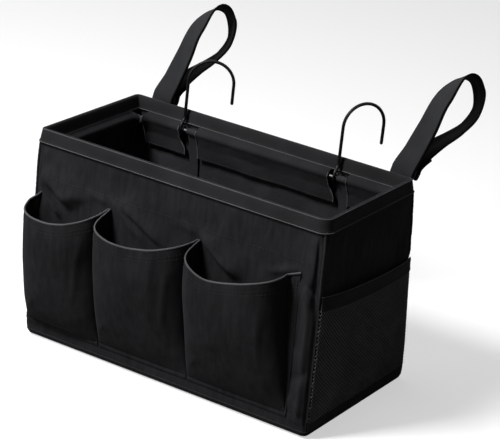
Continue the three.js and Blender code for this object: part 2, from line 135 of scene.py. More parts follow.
class Shells:
    """Collects closed shells, so that several make one mesh."""

    def __init__(self):
        self.points, self.faces, self.uv, self.count = [], [], [], 0

    def take(self, points, faces, uv):
        points = np.asarray(points, float).reshape(-1, 3)
        self.points.append(points)
        self.faces.extend((np.asarray(f) + self.count) for f in faces)
        self.uv.extend(uv)
        self.count += len(points)
        return self

    def sheet(self, outer, thickness, wrap=False):
        """A sheet of cloth: outer is its shown face, and thickness goes to the other side of its normal."""
        inner = outer - grid_normals(outer, wrap) * thickness
        n, m = outer.shape[:2]
        u, v = lengths(outer)
        closing = np.linalg.norm(outer[0] - outer[-1], axis=-1).mean() if wrap else 0
        index = np.arange(n * m).reshape(n, m)
        other = index + n * m
        faces, uv = [], []
        for i in range(n if wrap else n - 1):
            k = (i + 1) % n
            u0, u1 = u[i], (u[i + 1] if i + 1 < n else u[-1] + closing)
            for j in range(m - 1):
                faces.append((index[i, j], index[k, j], index[k, j + 1], index[i, j + 1]))
                faces.append((other[i, j + 1], other[k, j + 1], other[k, j], other[i, j]))
                corner = [(u0, v[j]), (u1, v[j]), (u1, v[j + 1]), (u0, v[j + 1])]
                uv.extend(corner)
                uv.extend(corner[::-1])
            for j in (0, m - 1):
                faces.append((index[i, j], other[i, j], other[k, j], index[k, j]))
                uv.extend([(u0, v[j]), (u0, v[j] + 1), (u1, v[j] + 1), (u1, v[j])])
        if not wrap:
            for i in (0, n - 1):
                for j in range(m - 1):
                    faces.append((index[i, j], index[i, j + 1], other[i, j + 1], other[i, j]))
                    uv.extend([(u[i], v[j]), (u[i], v[j + 1]), (u[i] + 1, v[j + 1]), (u[i] + 1, v[j])])
        return self.take(np.concatenate([outer.reshape(-1, 3), inner.reshape(-1, 3)]), faces, uv)

    def loft(self, rings, wrap=False):
        """A solid through closed rings of points: rings has the shape (how many, points in each, 3)."""
        n, m = rings.shape[:2]
        u, _ = lengths(rings)
        _, v = lengths(np.concatenate([rings, rings[:, :1]], 1))
        index = np.arange(n * m).reshape(n, m)
        faces, uv = [], []
        for i in range(n if wrap else n - 1):
            k = (i + 1) % n
            u0, u1 = u[i], (u[i + 1] if i + 1 < n else u[-1] + u[1])
            for j in range(m):
                l = (j + 1) % m
                faces.append((index[i, j], index[k, j], index[k, l], index[i, l]))
                uv.extend([(u0, v[j]), (u1, v[j]), (u1, v[j + 1]), (u0, v[j + 1])])
        if not wrap:
            for i in (0, n - 1):
                faces.append(tuple(index[i]))
                uv.extend([(u[i], v[j]) for j in range(m)])
        return self.take(rings, faces, uv)

    def tube(self, path, radius, sides, closed=False):
        """A tube along a path. radius is one number or one for each point; open ends have rounded tips."""
        path = np.asarray(path, float)
        radius = np.full(len(path), radius, float) if np.isscalar(radius) else np.asarray(radius, float)
        if not closed:
            start = (path[0] - path[1]) / np.linalg.norm(path[0] - path[1])
            end = (path[-1] - path[-2]) / np.linalg.norm(path[-1] - path[-2])
            tips = path[0] + start * radius[0] * 0.5, path[-1] + end * radius[-1] * 0.5
            path = np.concatenate([tips[:1], path, tips[1:]])
            radius = np.concatenate([[radius[0] * 0.62], radius, [radius[-1] * 0.62]])
        return self.loft(sweep(path, circle(sides), radius, closed), wrap=closed)


def put(shells, name, material, slot, *nodes, body="caddy", sharp=50):
    """Builds a piece, rides it on its body, and hides the CAD nodes that it stands for. Its slot is not
    used.
    """
    obj = add_mesh(name, np.concatenate(shells.points), shells.faces, material, shells.uv, sharp)
    if body is not None:
        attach(obj, body)
    if nodes:
        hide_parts(*nodes)
    return obj


def circle(sides):
    angles = np.arange(sides) * 2 * math.pi / sides
    return np.stack([np.cos(angles), np.sin(angles)], 1)


def sweep(path, section, scale=1.0, closed=False, side=None):
    """Rings of a section carried along a path. side gives the section's first axis where it matters."""
    path = np.asarray(path, float)
    n = len(path)
    scale = np.full(n, scale, float) if np.isscalar(scale) else np.asarray(scale, float)
    tangent = np.roll(path, -1, 0) - np.roll(path, 1, 0) if closed else np.gradient(path, axis=0)
    tangent /= np.linalg.norm(tangent, axis=1, keepdims=True)
    if side is None:
        first = np.cross(tangent[0], [0.31, 0.17, 0.93])
        side = np.zeros_like(path)
        side[0] = first / np.linalg.norm(first)
        for i in range(1, n):
            carried = side[i - 1] - tangent[i] * np.dot(side[i - 1], tangent[i])
            side[i] = carried / np.linalg.norm(carried)
    else:
        side = np.broadcast_to(side, path.shape)
        side = side - tangent * (side * tangent).sum(1, keepdims=True)
        side = side / np.linalg.norm(side, axis=1, keepdims=True)
    other = np.cross(tangent, side)
    reach = section[None] * scale[:, None, None]
    return path[:, None] + side[:, None] * reach[..., :1] + other[:, None] * reach[..., 1:]


def evenly(path, step):
    """A path with its points placed a step apart, and its first and last points kept."""
    far = distances(path)
    return resample(path, far, np.linspace(0, far[-1], max(2, int(round(far[-1] / step)) + 1)))


STITCH_PITCH, STITCH_LENGTH = 3.2, 2.3
STITCH_SHARES = np.array([-0.5, -0.32, 0, 0.32, 0.5])
STITCH_LIFTS = np.array([-0.25, 0.12, 0.2, 0.12, -0.25])
STITCH_WIDTHS = np.array([0.45, 0.95, 1.0, 0.95, 0.45])


def stitch_row(shells, path, outward, radius=0.34):
    """A row of thread stitches lying on a surface. outward is the surface's normal along the path."""
    path = np.asarray(path, float)
    outward = np.broadcast_to(outward, path.shape)
    far = distances(path)
    count = int(far[-1] / STITCH_PITCH)
    for spot in (np.arange(count) + 0.5) * far[-1] / max(count, 1):
        where = np.clip(spot + STITCH_SHARES * STITCH_LENGTH, 0, far[-1])
        ends = resample(path, far, where) + resample(outward, far, where) * STITCH_LIFTS[:, None]
        shells.loft(sweep(ends, circle(5), STITCH_WIDTHS * radius))


# The straight box's walls: the way along each, its outward normal, half its length, how far out it
# stands, and its first and last corners.

SIDES = {
    "front": ((1, 0), (0, -1), HALF_X, HALF_Y, "front_left", "front_right"),
    "right": ((0, 1), (1, 0), HALF_Y, HALF_X, "front_right", "back_right"),
    "back": ((-1, 0), (0, 1), HALF_X, HALF_Y, "back_right", "back_left"),
    "left": ((0, -1), (-1, 0), HALF_Y, HALF_X, "back_left", "front_left"),
}
SEAM_RADIUS = 2.6
RIM_RADIUS = {"front_left": 4.0, "front_right": 10.0, "back_right": 4.0, "back_left": 5.0}
FOOT_ROUNDING = 3.5


def outward_of(side):
    return np.array([*SIDES[side][1], 0.0])


def corner_radius(corner, z):
    """The box's corner is sharp where it is piped and rounder at the rim and at the foot."""
    rounding = (RIM_RADIUS[corner] - SEAM_RADIUS) * smoothstep(z, 160, 190)
    return SEAM_RADIUS + rounding + FOOT_ROUNDING * (1 - smoothstep(z, 0, 14))


def wall_point(side, along, z, inset):
    """Points of one wall: along runs 0 to 1 between its corner seams, and inset goes into the box."""
    tangent, normal, half, deep, first, second = SIDES[side]
    along, z, inset = np.broadcast_arrays(*(np.asarray(part, float) for part in (along, z, inset)))
    quarter = math.pi / 4
    r1 = np.maximum(corner_radius(first, z) - inset, 0.6)
    r2 = np.maximum(corner_radius(second, z) - inset, 0.6)
    straight = 2 * (half - inset) - r1 - r2
    far = along * (straight + quarter * (r1 + r2))
    turn1 = np.clip(quarter - far / r1, 0, quarter)
    turn2 = np.clip((far - quarter * r1 - straight) / r2, 0, quarter)
    middle = np.clip(far - quarter * r1, 0, straight)
    run = -(half - inset - r1) + middle - r1 * np.sin(turn1) + r2 * np.sin(turn2)
    out = deep - inset - r1 * (1 - np.cos(turn1)) - r2 * (1 - np.cos(turn2))
    return np.stack([run * tangent[0] + out * normal[0], run * tangent[1] + out * normal[1], z], -1)


def alongs(count):
    """Shares along a wall, closer together near its corners."""
    even = np.linspace(0, 1, count)
    return 0.5 * even + 0.5 * (0.5 - 0.5 * np.cos(math.pi * even))


def ring(count_long, count_short, z, inset):
    """Points all round the box for lists of heights and insets, one row for each place round it."""
    counts = {"front": count_long, "right": count_short, "back": count_long, "left": count_short}
    heights, insets = np.array([z], float), np.array([inset], float)
    return np.concatenate([wall_point(side, alongs(count)[:-1, None], heights, insets)
                           for side, count in counts.items()])


def level_grid(half_x, half_y, count_x, count_y, height):
    """A level grid of points inside the box. height gives their heights from x and y."""
    x = np.linspace(-half_x, half_x, count_x)[:, None]
    y = np.linspace(-half_y, half_y, count_y)[None]
    return soften(stack(x, y, height(x, y)))


def waves(a, b, seed, scale):
    """Gentle uneven swells over a surface, about -1 to 1, the same on every run."""
    rng = np.random.default_rng(seed)
    total = 0
    for _ in range(7):
        angle = rng.uniform(0, math.pi)
        size = scale * rng.uniform(0.55, 1.7)
        phase = rng.uniform(0, 2 * math.pi)
        total = total + np.sin((a * math.cos(angle) + b * math.sin(angle)) * 2 * math.pi / size + phase)
    return total / 3.6


def by_line(a, b, start, end):
    """Where points lie by a line: their share of the way along it, and how far to its left they are."""
    start, end = np.array(start, float), np.array(end, float)
    way = end - start
    length = np.linalg.norm(way)
    way /= length
    along = ((a - start[0]) * way[0] + (b - start[1]) * way[1]) / length
    return along, -(a - start[0]) * way[1] + (b - start[1]) * way[0]


def fold(a, b, start, end, width, height, fade=0.35):
    """A soft ridge (or valley, with a height below 0) along a line on a surface, fading at its ends."""
    along, away = by_line(a, b, start, end)
    ends = smoothstep(along, -0.05, fade) * (1 - smoothstep(along, 1 - fade, 1.05))
    return height * np.exp(-((away / width) ** 2)) * ends


def ledge(a, b, start, end, half_width, height, reach, fade=0.3):
    """A swell that ends in a steep flank along a line: the cloth left of the line's direction stands out."""
    along, away = by_line(a, b, start, end)
    ends = smoothstep(along, -0.1, fade) * (1 - smoothstep(along, 1 - fade, 1.1))
    step = smoothstep(away, -half_width, half_width)
    return height * step * np.exp(-((np.maximum(away, 0) / reach) ** 2)) * ends


# Materials

class Nodes:
    """A short way to write a node tree."""

    def __init__(self, tree):
        self.tree = tree

    def set(self, node, values):
        """Gives a node's inputs what they hold: a socket is linked, and anything else is written."""
        for key, value in values.items():
            if isinstance(value, bpy.types.NodeSocket):
                self.tree.links.new(value, node.inputs[key])
            else:
                node.inputs[key].default_value = value
        return node

    def add(self, kind, values=None, **settings):
        node = self.tree.nodes.new(kind)
        for key, value in settings.items():
            setattr(node, key, value)
        return self.set(node, values or {})

    def math(self, operation, *values):
        return self.add("ShaderNodeMath", dict(enumerate(values)), operation=operation).outputs[0]

    def plus(self, a, b):
        return self.math("ADD", a, b)

    def times(self, a, b):
        return self.math("MULTIPLY", a, b)

    def mix(self, factor, a, b, blend="MIX"):
        node = self.add("ShaderNodeMix", data_type="RGBA", blend_type=blend)
        return self.set(node, {"Factor": factor, "A": a, "B": b}).outputs["Result"]


class Finish(Nodes):
    """A material: object coordinates, the surface's own thread coordinates in millimetres, and a shader."""

    def __init__(self, name, color, roughness):
        self.color = color
        self.material = bpy.data.materials.new(name)
        self.material.use_nodes = True
        self.material.diffuse_color = (*color, 1)
        super().__init__(self.material.node_tree)
        self.shader = self.tree.nodes["Principled BSDF"]
        self.set(self.shader, {"Base Color": (*color, 1), "Roughness": roughness})
        self.where = self.add("ShaderNodeTexCoord").outputs["Object"]
        threads = self.add("ShaderNodeUVMap", uv_map="cloth").outputs["UV"]
        parts = self.add("ShaderNodeSeparateXYZ", {0: threads})
        self.u, self.v = parts.outputs["X"], parts.outputs["Y"]

    def ramp(self, source, stops):
        node = self.add("ShaderNodeValToRGB", {0: source})
        for element, (position, color) in zip(node.color_ramp.elements, stops):
            element.position = position
            element.color = (*color, 1)
        return node.outputs[0]

    def tones(self, source, *stops):
        """The finish's colour, with its strength at each place of the source."""
        return self.ramp(source, [(at, tuple(c * strength for c in self.color)) for at, strength in stops])

    def noise(self, scale, detail=3.0, roughness=0.5, where=None):
        values = {"Scale": scale, "Detail": detail, "Roughness": roughness, "Vector": where or self.where}
        return self.add("ShaderNodeTexNoise", values).outputs["Fac"]

    def bump(self, height, strength, distance, normal=None):
        node = self.add("ShaderNodeBump", {"Strength": strength, "Distance": distance, "Height": height})
        return self.set(node, {"Normal": normal} if normal else {}).outputs["Normal"]

    def done(self, values):
        self.set(self.shader, values)
        return self.material


def weave_height(nodes, pitch):
    """Plain weave: the warp and the weft pass over and under each other, one pitch apart."""
    wave_u = nodes.math("SINE", nodes.times(nodes.u, math.pi / pitch))
    wave_v = nodes.math("SINE", nodes.times(nodes.v, math.pi / pitch))
    sides = nodes.math("MAXIMUM", nodes.math("ABSOLUTE", wave_u), nodes.math("ABSOLUTE", wave_v))
    return nodes.plus(nodes.times(nodes.times(wave_u, wave_v), 0.5), nodes.times(sides, 0.5))


def fabric(name, color, pitch, sheen=0.02, weave=0.25, crumple=0.5, mottle=0.22, slub=0.0):
    """Woven cloth: a plain weave with painted shade in its hollows, small creases, uneven dye, upright slubs
    and a soft sheen.
    """
    roughness = 0.8
    nodes = Finish(name, color, roughness)
    height = weave_height(nodes, pitch)
    dye = nodes.noise(24, 4, 0.6)
    if slub:
        stretched = nodes.add("ShaderNodeMapping", {"Vector": nodes.where, "Scale": (1, 1, 0.16)})
        streaks = nodes.noise(240, 3, 0.6, stretched.outputs["Vector"])
        dye = nodes.plus(nodes.times(dye, 1 - slub), nodes.times(streaks, slub))
    base = nodes.tones(dye, (0.3, 1 - mottle), (0.7, 1 + mottle))
    # Painted shade: the weave's low places are painted darker, and its crests a little lighter.
    painted_shade = nodes.ramp(height, [(0.0, [0.62] * 3), (0.8, [1.12] * 3)])
    creased = nodes.bump(nodes.noise(38, 4, 0.55), crumple, 0.004)
    return nodes.done({
        "Base Color": nodes.mix(0.8, base, painted_shade, "MULTIPLY"),
        "Roughness": nodes.plus(nodes.times(nodes.noise(420, 2), 0.14), roughness - 0.07),
        "Normal": nodes.bump(height, weave, 0.0003, creased),
        "Sheen Weight": sheen,
        "Sheen Roughness": 0.45,
        "Sheen Tint": (0.9, 0.93, 1.0, 1),
        "Specular IOR Level": 0.015,
    })


def webbing_material(name, color, inner_face=None):
    """Ribbed webbing: ribs across its length and a fine twill.

    inner_face holds where the inner face starts, its middle and its half width, round the section: that
    face gets painted shade, with a painted sheen streak lighter along its middle."""
    nodes = Finish(name, color, 0.72)
    ribs = nodes.math("ABSOLUTE", nodes.math("SINE", nodes.times(nodes.u, math.pi / 1.3)))
    twill = nodes.math("SINE", nodes.times(nodes.plus(nodes.u, nodes.v), math.pi / 0.75))
    height = nodes.plus(ribs, nodes.times(twill, 0.35))
    tone = nodes.plus(nodes.times(nodes.noise(60), 0.5), nodes.times(ribs, 0.3))
    base = nodes.tones(tone, (0.2, 0.7), (0.75, 1.35))
    if inner_face is not None:
        start, middle, half_width = inner_face
        # Painted shade over the inner face, and a painted sheen streak along its middle.
        away = nodes.math("DIVIDE", nodes.math("SUBTRACT", nodes.v, middle), half_width)
        near = nodes.math("SUBTRACT", 0.62, nodes.math("ABSOLUTE", away))
        painted_streak = nodes.math("MULTIPLY_ADD", nodes.math("MAXIMUM", near, 0.0), 1.6, 0.04)
        past = nodes.math("GREATER_THAN", nodes.v, start)
        painted_shade = nodes.math("MULTIPLY_ADD", past, nodes.math("SUBTRACT", painted_streak, 1.0), 1.0)
        base = nodes.mix(1.0, base, painted_shade, "MULTIPLY")
    return nodes.done({
        "Base Color": base,
        "Normal": nodes.bump(height, 0.5, 0.0004),
        "Sheen Weight": 0.012,
        "Sheen Roughness": 0.4,
        "Specular IOR Level": 0.02,
    })


def pile_material(name, color, scale):
    """Hook-and-loop tape: a dense uneven pile."""
    nodes = Finish(name, color, 0.95)
    pile = nodes.noise(scale, 5, 0.7)
    return nodes.done({
        "Base Color": nodes.tones(pile, (0.3, 0.5), (0.7, 1.8)),
        "Normal": nodes.bump(pile, 0.9, 0.0008),
        "Sheen Weight": 0.3,
    })


def board_material(name, color):
    """Grey-brown fibreboard: pressed fibres and small flecks."""
    nodes = Finish(name, color, 0.9)
    fibres = nodes.noise(300, 5, 0.7)
    return nodes.done({
        "Base Color": nodes.tones(fibres, (0.3, 0.75), (0.75, 1.2)),
        "Normal": nodes.bump(fibres, 0.4, 0.0003),
    })


def wire_material(name, color, metallic, roughness, coat=0.0):
    """Round wire, plated or coated, with a faint drawn texture and small wear marks."""
    nodes = Finish(name, color, roughness)
    marks = nodes.noise(650, 4, 0.65)
    return nodes.done({
        "Base Color": nodes.tones(marks, (0.35, 0.8), (0.8, 1.25)),
        "Roughness": nodes.plus(nodes.times(marks, 0.22), roughness - 0.1),
        "Normal": nodes.bump(marks, 0.15, 0.0002),
        "Metallic": metallic,
        "Specular IOR Level": 0.12,
        "Coat Weight": coat,
        "Coat Roughness": 0.15,
    })


CLOTH = fabric("caddy_cloth", (0.0145, 0.0148, 0.0156), 0.85, crumple=0.35, mottle=0.4, slub=0.55)
# The lining and the sleeves are one inner cloth: the lining is painted lighter, as painted light on the
# inner walls, and the sleeves darker than it, as painted shade on their flaps.
LINING_PAINTED_LIGHT = fabric("caddy_lining_painted_light", (0.022, 0.0226, 0.024), 0.7, crumple=0.6)
SLEEVE_PAINTED_SHADE = fabric("caddy_sleeve_painted_shade", (0.0155, 0.0159, 0.0167), 0.7, crumple=0.5)
BINDING = fabric("caddy_binding", (0.017, 0.0173, 0.018), 0.6, sheen=0.04, crumple=0.12, weave=0.4)
# Painted highlight: a copy of the binding several times lighter, for the folded edges that catch the light.
PAINTED_HIGHLIGHT_EDGE = fabric("caddy_folded_edge_painted_highlight", (0.07, 0.071, 0.073), 0.6, sheen=0.06, crumple=0.1, weave=0.4)
THREAD = fabric("caddy_thread", (0.024, 0.0245, 0.025), 0.4, sheen=0.05, crumple=0.05, weave=0.2)
# The net's strands are painted several times lighter than the cloth: a painted highlight where the rounded
# strands catch the light.
PAINTED_HIGHLIGHT_NET = fabric("caddy_net_painted_highlight", (0.105, 0.107, 0.11), 0.5, sheen=0.06, crumple=0.05, weave=0.2)
WEBBING = webbing_material("caddy_webbing", (0.022, 0.0226, 0.024))
# The strap's inner face gets painted shade and a painted sheen streak.
STRAP = webbing_material("caddy_strap", (0.02, 0.0206, 0.022), (23.6, 37.5, 13.0))
LOOP_TAPE = pile_material("caddy_loop_pile", (0.008, 0.008, 0.0085), 1500)
HOOK_TAPE = pile_material("caddy_hook_pile", (0.006, 0.006, 0.0065), 900)
BOARD = board_material("caddy_board", (0.25, 0.19, 0.12))
HOOK_WIRE = wire_material("caddy_hook_wire", (0.003, 0.003, 0.0033), 0.0, 0.42, 0.05)
FRAME_WIRE = wire_material("caddy_frame_wire", (0.07, 0.07, 0.073), 1.0, 0.45)


# Outer cloth

# The front's creases as places (x, z) of their two ends, then a fold's width, height and sometimes
# fade, or a ledge's half width, height and reach.
FRONT_FOLDS = [
    ((-152, 158), (-120, 118), 3.0, 3.6, 0.2),
    ((-132, 138), (-84, 146), 5.0, 1.2),
    ((-74, 156), (-30, 120), 4.0, 2.8),
    ((-68, 146), (-96, 152), 4.0, 1.4),
    ((20, 158), (72, 118), 4.5, 3.0),
    ((27, 146), (0, 152), 4.0, 1.4),
    ((94, 134), (133, 148), 4.0, 1.9),
    ((126, 143), (152, 126), 2.6, -2.0),
    ((126, 133), (152, 116), 4.0, 0.9),
    ((128, 78), (152, 58), 5.0, 0.8),
    ((128, 48), (152, 62), 4.0, -1.2),
    ((128, 34), (152, 18), 3.6, 1.3),
    ((128, 22), (152, 10), 2.8, -1.2),
]
FRONT_LEDGES = [
    ((-147, 153), (-107, 128), 4.6, 5.2, 22),
    ((-62, 150), (-8, 122), 3.0, 4.0, 17),
    ((28, 146), (72, 116), 4.4, 4.0, 20),
]
CREASE_STRENGTH = 1.35


def front_relief(x, z):
    """How far the front cloth stands out: swells, and the creases that the pockets pull into it."""
    calm = smoothstep(z, 6, 20) * (1 - smoothstep(z, 174, 183))
    inner = HALF_X - np.abs(x)
    swell = 0.6 * waves(x, z, 3, 90) + 0.25 * waves(x, z, 14, 34)
    low = 1 - smoothstep(z, 108, 132)
    margin = 2.8 * np.exp(-(((x - 140.5 - 3.2 * low) / (6.5 - 1.3 * low)) ** 2)) * smoothstep(z, 10, 40)
    margin = margin * (1 - smoothstep(z, 134, 152))
    creases = sum(fold(x, z, *row) for row in FRONT_FOLDS) + sum(ledge(x, z, *row) for row in FRONT_LEDGES)
    stand = (swell + margin + CREASE_STRENGTH * creases) * calm * smoothstep(inner, 0.5, 8)
    past_seam = inner - 0.9 - 3.4 * smoothstep(z, 104, 130)
    flange = 2.5 * smoothstep(past_seam, 0, 1.6) * (1 - smoothstep(inner, 7, 24)) * smoothstep(z, 8, 16)
    stand = stand * smoothstep(past_seam, -0.7, 2.3) + flange * (1 - smoothstep(z, 172, 182))
    return 0.6 * np.log1p(np.exp(stand / 0.6)) - 0.3


def plain_relief(seed, amount):
    def relief(run, z):
        calm = smoothstep(z, 4, 30) * (1 - smoothstep(z, 172, 184))
        half = np.abs(run).max()
        return amount * waves(run, z, seed, 80) * calm * smoothstep(half - np.abs(run), 1, 10)
    return relief


def right_relief(run, z):
    sag = fold(run, z, (-60, 120), (-20, 96), 6, -0.8) + fold(run, z, (20, 90), (58, 60), 7, 0.7)
    return plain_relief(12, 0.6)(run, z) + sag


def add_panel(name, side, relief, node, columns, rows):
    """One outer cloth panel, from corner seam to corner seam."""
    along = alongs(columns)[:, None]
    z = np.linspace(4.4, 187.0, rows)[None]
    grid = wall_point(side, along * 0.998 + 0.001, z, 0.0)
    run = (along - 0.5) * (2 * SIDES[side][2])
    stand = relief(run + 0 * z, z + 0 * run)
    put(Shells().sheet(soften(grid + grid_normals(grid) * stand[..., None]), CLOTH_THICKNESS), name, CLOTH,
        "cloth", node)


def add_outer_cloth():
    add_panel("front_cloth", "front", front_relief, "front_panel", 210, 110)
    add_panel("back_cloth", "back", plain_relief(5, 0.7), "back_panel", 90, 60)
    add_panel("right_end_cloth", "right", right_relief, "right_end_panel", 70, 70)
    add_panel("left_end_cloth", "left", plain_relief(8, 0.6), "left_end_panel", 70, 70)
    angles = np.linspace(0, math.pi / 2, 7)
    z = [5.6, 5.2, *(4.7 - 4.5 * np.sin(angles)), 0.2]
    inset = [-0.5, -0.6, *(-0.6 + 5.0 * (1 - np.cos(angles))), 18.0]
    shells = Shells().sheet(soften(ring(110, 60, z, inset))[::-1], CLOTH_THICKNESS, wrap=True)
    floor = level_grid(140, 64, 40, 20, lambda x, y: 0.35 + 0.15 * waves(x, y, 9, 70))
    shells.sheet(floor[:, ::-1], CLOTH_THICKNESS)
    put(shells, "base_cloth", CLOTH, "cloth", "base_panel")
    welt = soften(ring(110, 60, [5.5], [-0.5])[:, 0])
    put(Shells().tube(welt, 0.75, 6, closed=True), "base_welt", BINDING, "binding")


def add_pipings():
    """A piped seam down each corner: a cord in a folded tape, proud of the walls above the pockets."""
    z = np.linspace(5.2, 183, 90)
    above = smoothstep(z, 118, 128)
    for side, (_, _, _, _, corner, _) in SIDES.items():
        phase = -1 if corner.endswith("left") else 1
        line = wall_point(side, 0.0, z, 0.3 - 1.0 * above)
        line[:, 0] += 0.18 * np.sin(z / 9.0 + phase)
        cord = Shells().tube(soften(line), 0.8 + 0.4 * above + 0.10 * np.sin(z * 1.9), 8)
        cord.tube(soften(wall_point(side, 0.0, z, 1.6)), 0.9, 6)
        put(cord, f"{corner}_piping", BINDING, "binding", f"corner_piping_{corner}")


def add_boards():
    along = np.linspace(0.012, 0.988, 24)[:, None]
    z = np.linspace(5.0, 187.0, 20)[None]
    for side in ("front", "back", "left", "right"):
        board = Shells().sheet(soften(wall_point(side, along, z, 1.15)), BOARD_THICKNESS)
        put(board, f"{side}_stiffener", BOARD, "board", f"{side}_board")
    board = Shells().sheet(level_grid(146, 71.5, 24, 12, lambda x, y: 3.4), BASE_BOARD_THICKNESS)
    put(board, "base_stiffener", BOARD, "board", "base_board")


# Lining, binding, frame wire and what hangs on it

def lining_relief(points):
    """Creases of the lining, inward: gathered folds at the corners and a gentle slack between."""
    x, y, z = points[..., 0], points[..., 1], points[..., 2]
    down = smoothstep(HEIGHT - z, 40, 72)
    to_x = 146 - np.abs(x)
    to_y = 71 - np.abs(y)
    near = np.exp(-((to_x + to_y) / 22.0) ** 2)
    gathers = near * (0.9 + np.sin((to_x - to_y) * 0.62 + z * 0.01)) * 1.1
    slack = 0.8 + 0.8 * waves(x + y * 1.3, z, 21, 70)
    return gathers * (0.35 + 0.65 * down) + slack * down


def add_lining():
    z = np.array([187.0, *np.linspace(184, 10, 50), 7.5, 6.0, 5.4])
    grid = ring(130, 70, z, [*[WALL] * 51, WALL + 0.7, WALL + 2.0, WALL + 5.0])
    inward = lining_relief(grid) * smoothstep(z, 6, 14)[None]
    walls = soften(grid + grid_normals(grid, True) * inward[..., None])
    shells = Shells().sheet(walls, CLOTH_THICKNESS, wrap=True)
    shells.sheet(level_grid(143, 68, 60, 30, lambda x, y: 5.5 + 0.5 * waves(x, y, 31, 60)), CLOTH_THICKNESS)
    # The lining's lighter colour is painted light.
    put(shells, "lining_cloth", LINING_PAINTED_LIGHT, "lining", "lining")


TAPE_OUTER, TAPE_INNER = -1.35, WALL + 1.35


def add_rim():
    """The binding tape folded over the rim, its two stitched edges turned under."""
    out, inn = TAPE_OUTER, TAPE_INNER
    angles = np.linspace(0, math.pi, 9)[1:-1]
    middle, reach = (out + inn) / 2, 2.0
    edge_z, edge_out = [182.3, 182.0, 182.6, 184, 187, 190], [0.55, -0.25, -0.45, 0, 0.3, 0.8]
    z = [
        *edge_z, *(192.7 + 2.3 * np.sin(angles)), *edge_z[::-1],
        183.2, 189.5, *(191.6 + 2.2 * np.sin(angles[::-1])), 189.5, 183.2,
    ]
    inset = [
        *(out + d for d in edge_out), *(middle - reach * np.cos(angles)), *(inn - d for d in edge_out[::-1]),
        inn - 0.95, inn - 1.7, *(middle + (reach - 0.9) * np.cos(angles)), out + 1.7, out + 0.95,
    ]
    rings = ring(200, 110, z, inset)
    far = distances(rings[:, 3])
    pucker = 0.10 * np.sin(far * 2 * math.pi / 6.1) + 0.25 * waves(far, 0 * far, 4, 70)
    rings[..., 2] += (0.5 * pucker)[:, None]
    put(Shells().loft(soften(rings), wrap=True), "rim_tape", BINDING, "binding", "rim_binding")
    rows = Shells()
    for inset_at, way in ((out - 0.02, 1), (inn + 0.02, -1)):
        for side, count in (("front", 120), ("right", 60), ("back", 120), ("left", 60)):
            share = np.linspace(0, 1, count)
            line = wall_point(side, share, 184.1, inset_at)
            stitch_row(rows, soften(line), wall_point(side, share, 184.1, inset_at - way) - line)
    put(rows, "rim_stitches", THREAD, "binding")
    # The edge beads are real, and their lighter colour is a painted highlight.
    edges = Shells()
    for height, inset_at in ((182.9, out - 0.5), (194.1, 0.5), (182.9, inn + 0.5)):
        edges.tube(soften(ring(200, 110, [height], [inset_at])[:, 0]), 0.5, 6, closed=True)
    put(edges, "rim_tape_painted_highlight_edges", PAINTED_HIGHLIGHT_EDGE, "binding")


FRAME_X, FRAME_Y, FRAME_Z, FRAME_BEND = 140.8, 65.8, 177.0, 14.0
FRAME_RADIUS, FRAME_CLEARANCE = 1.75, 0.35
HOOK_SHARES = (-0.6, 0.513)


def add_frame_wire():
    points = [(0.3, -FRAME_Y)]
    for side_x, side_y, start in ((1, -1, -90), (1, 1, 0), (-1, 1, 90), (-1, -1, 180)):
        for angle in np.radians(np.linspace(start, start + 90, 12)):
            points.append((side_x * (FRAME_X - FRAME_BEND) + FRAME_BEND * math.cos(angle),
                           side_y * (FRAME_Y - FRAME_BEND) + FRAME_BEND * math.sin(angle)))
    points.append((-0.3, -FRAME_Y))
    path = evenly(np.array([(x, y, FRAME_Z) for x, y in points]), 3.0)
    put(Shells().tube(path, FRAME_RADIUS, 14), "frame_wire", FRAME_WIRE, "frame_wire", "support_frame")


SLEEVE_TOP, SLEEVE_HEM, SLEEVE_CLOTH, SLEEVE_SLACK = 184.0, 152.0, 1.4, 4.6

# How far a sleeve goes on round the frame's bends, and a back window's room: before the hook and after
# it, then the load strip and the room past it.
SLEEVE_OVERRUN, HOOK_ROOM, STRIP_WIDTH, STRIP_ROOM = 9.0, 2.7, 10.0, 1.2


def flap_section(side, along, seed):
    """The inner face of a sleeve: from the wall below the binding, round the frame wire, down to its hem."""
    angles = np.radians(np.linspace(62, -35, 9))
    half, normal = SIDES[side][2], outward_of(side)
    frame_half, frame_out = (FRAME_X, FRAME_Y) if side in ("front", "back") else (FRAME_Y, FRAME_X)
    straight = frame_half - FRAME_BEND
    fall = np.linspace(1, 0, 12)
    sections = []
    for share in along:
        face = soften(wall_point(side, share, FRAME_Z, WALL))
        over = max(0.0, abs(share - 0.5) * 2 * half - straight) / FRAME_BEND
        bend = math.sqrt(1 - over * over)
        deep = face @ normal - frame_out + FRAME_BEND * (1 - bend)
        bulge = (FRAME_RADIUS + FRAME_CLEARANCE + SLEEVE_CLOTH) / bend
        slack = SLEEVE_SLACK + 0.35 * np.sin(share * 31 + seed) + 0.2 * np.sin(share * 77 + seed * 2)
        hang = slack + (deep * 0.85 - slack) * fall + 0.4 * np.sin(np.linspace(0, 3, 12) + share * 20)
        heights = np.array([
            SLEEVE_TOP, 182.6, 181.4, *(FRAME_Z + bulge * np.sin(angles)), 171.5, 168,
            *np.linspace(165, SLEEVE_HEM, 12),
        ])
        depths = np.array([
            1.6, 2.4, deep * 0.85, *(deep + bulge * np.cos(angles)), deep + 1.2, deep * 0.9 + 1.0, *hang,
        ])
        sections.append(soften(wall_point(side, share, heights, WALL)) - normal * depths[:, None])
    return np.array(sections)


def hook_windows():
    """The back sleeve's two windows: where each starts, its load strip's two edges, and its end."""
    room = np.array([-HOOK_ROOM, HOOK_ROOM, HOOK_ROOM + STRIP_WIDTH, HOOK_ROOM + STRIP_WIDTH + STRIP_ROOM])
    return [share * HALF_X + room for share in HOOK_SHARES]


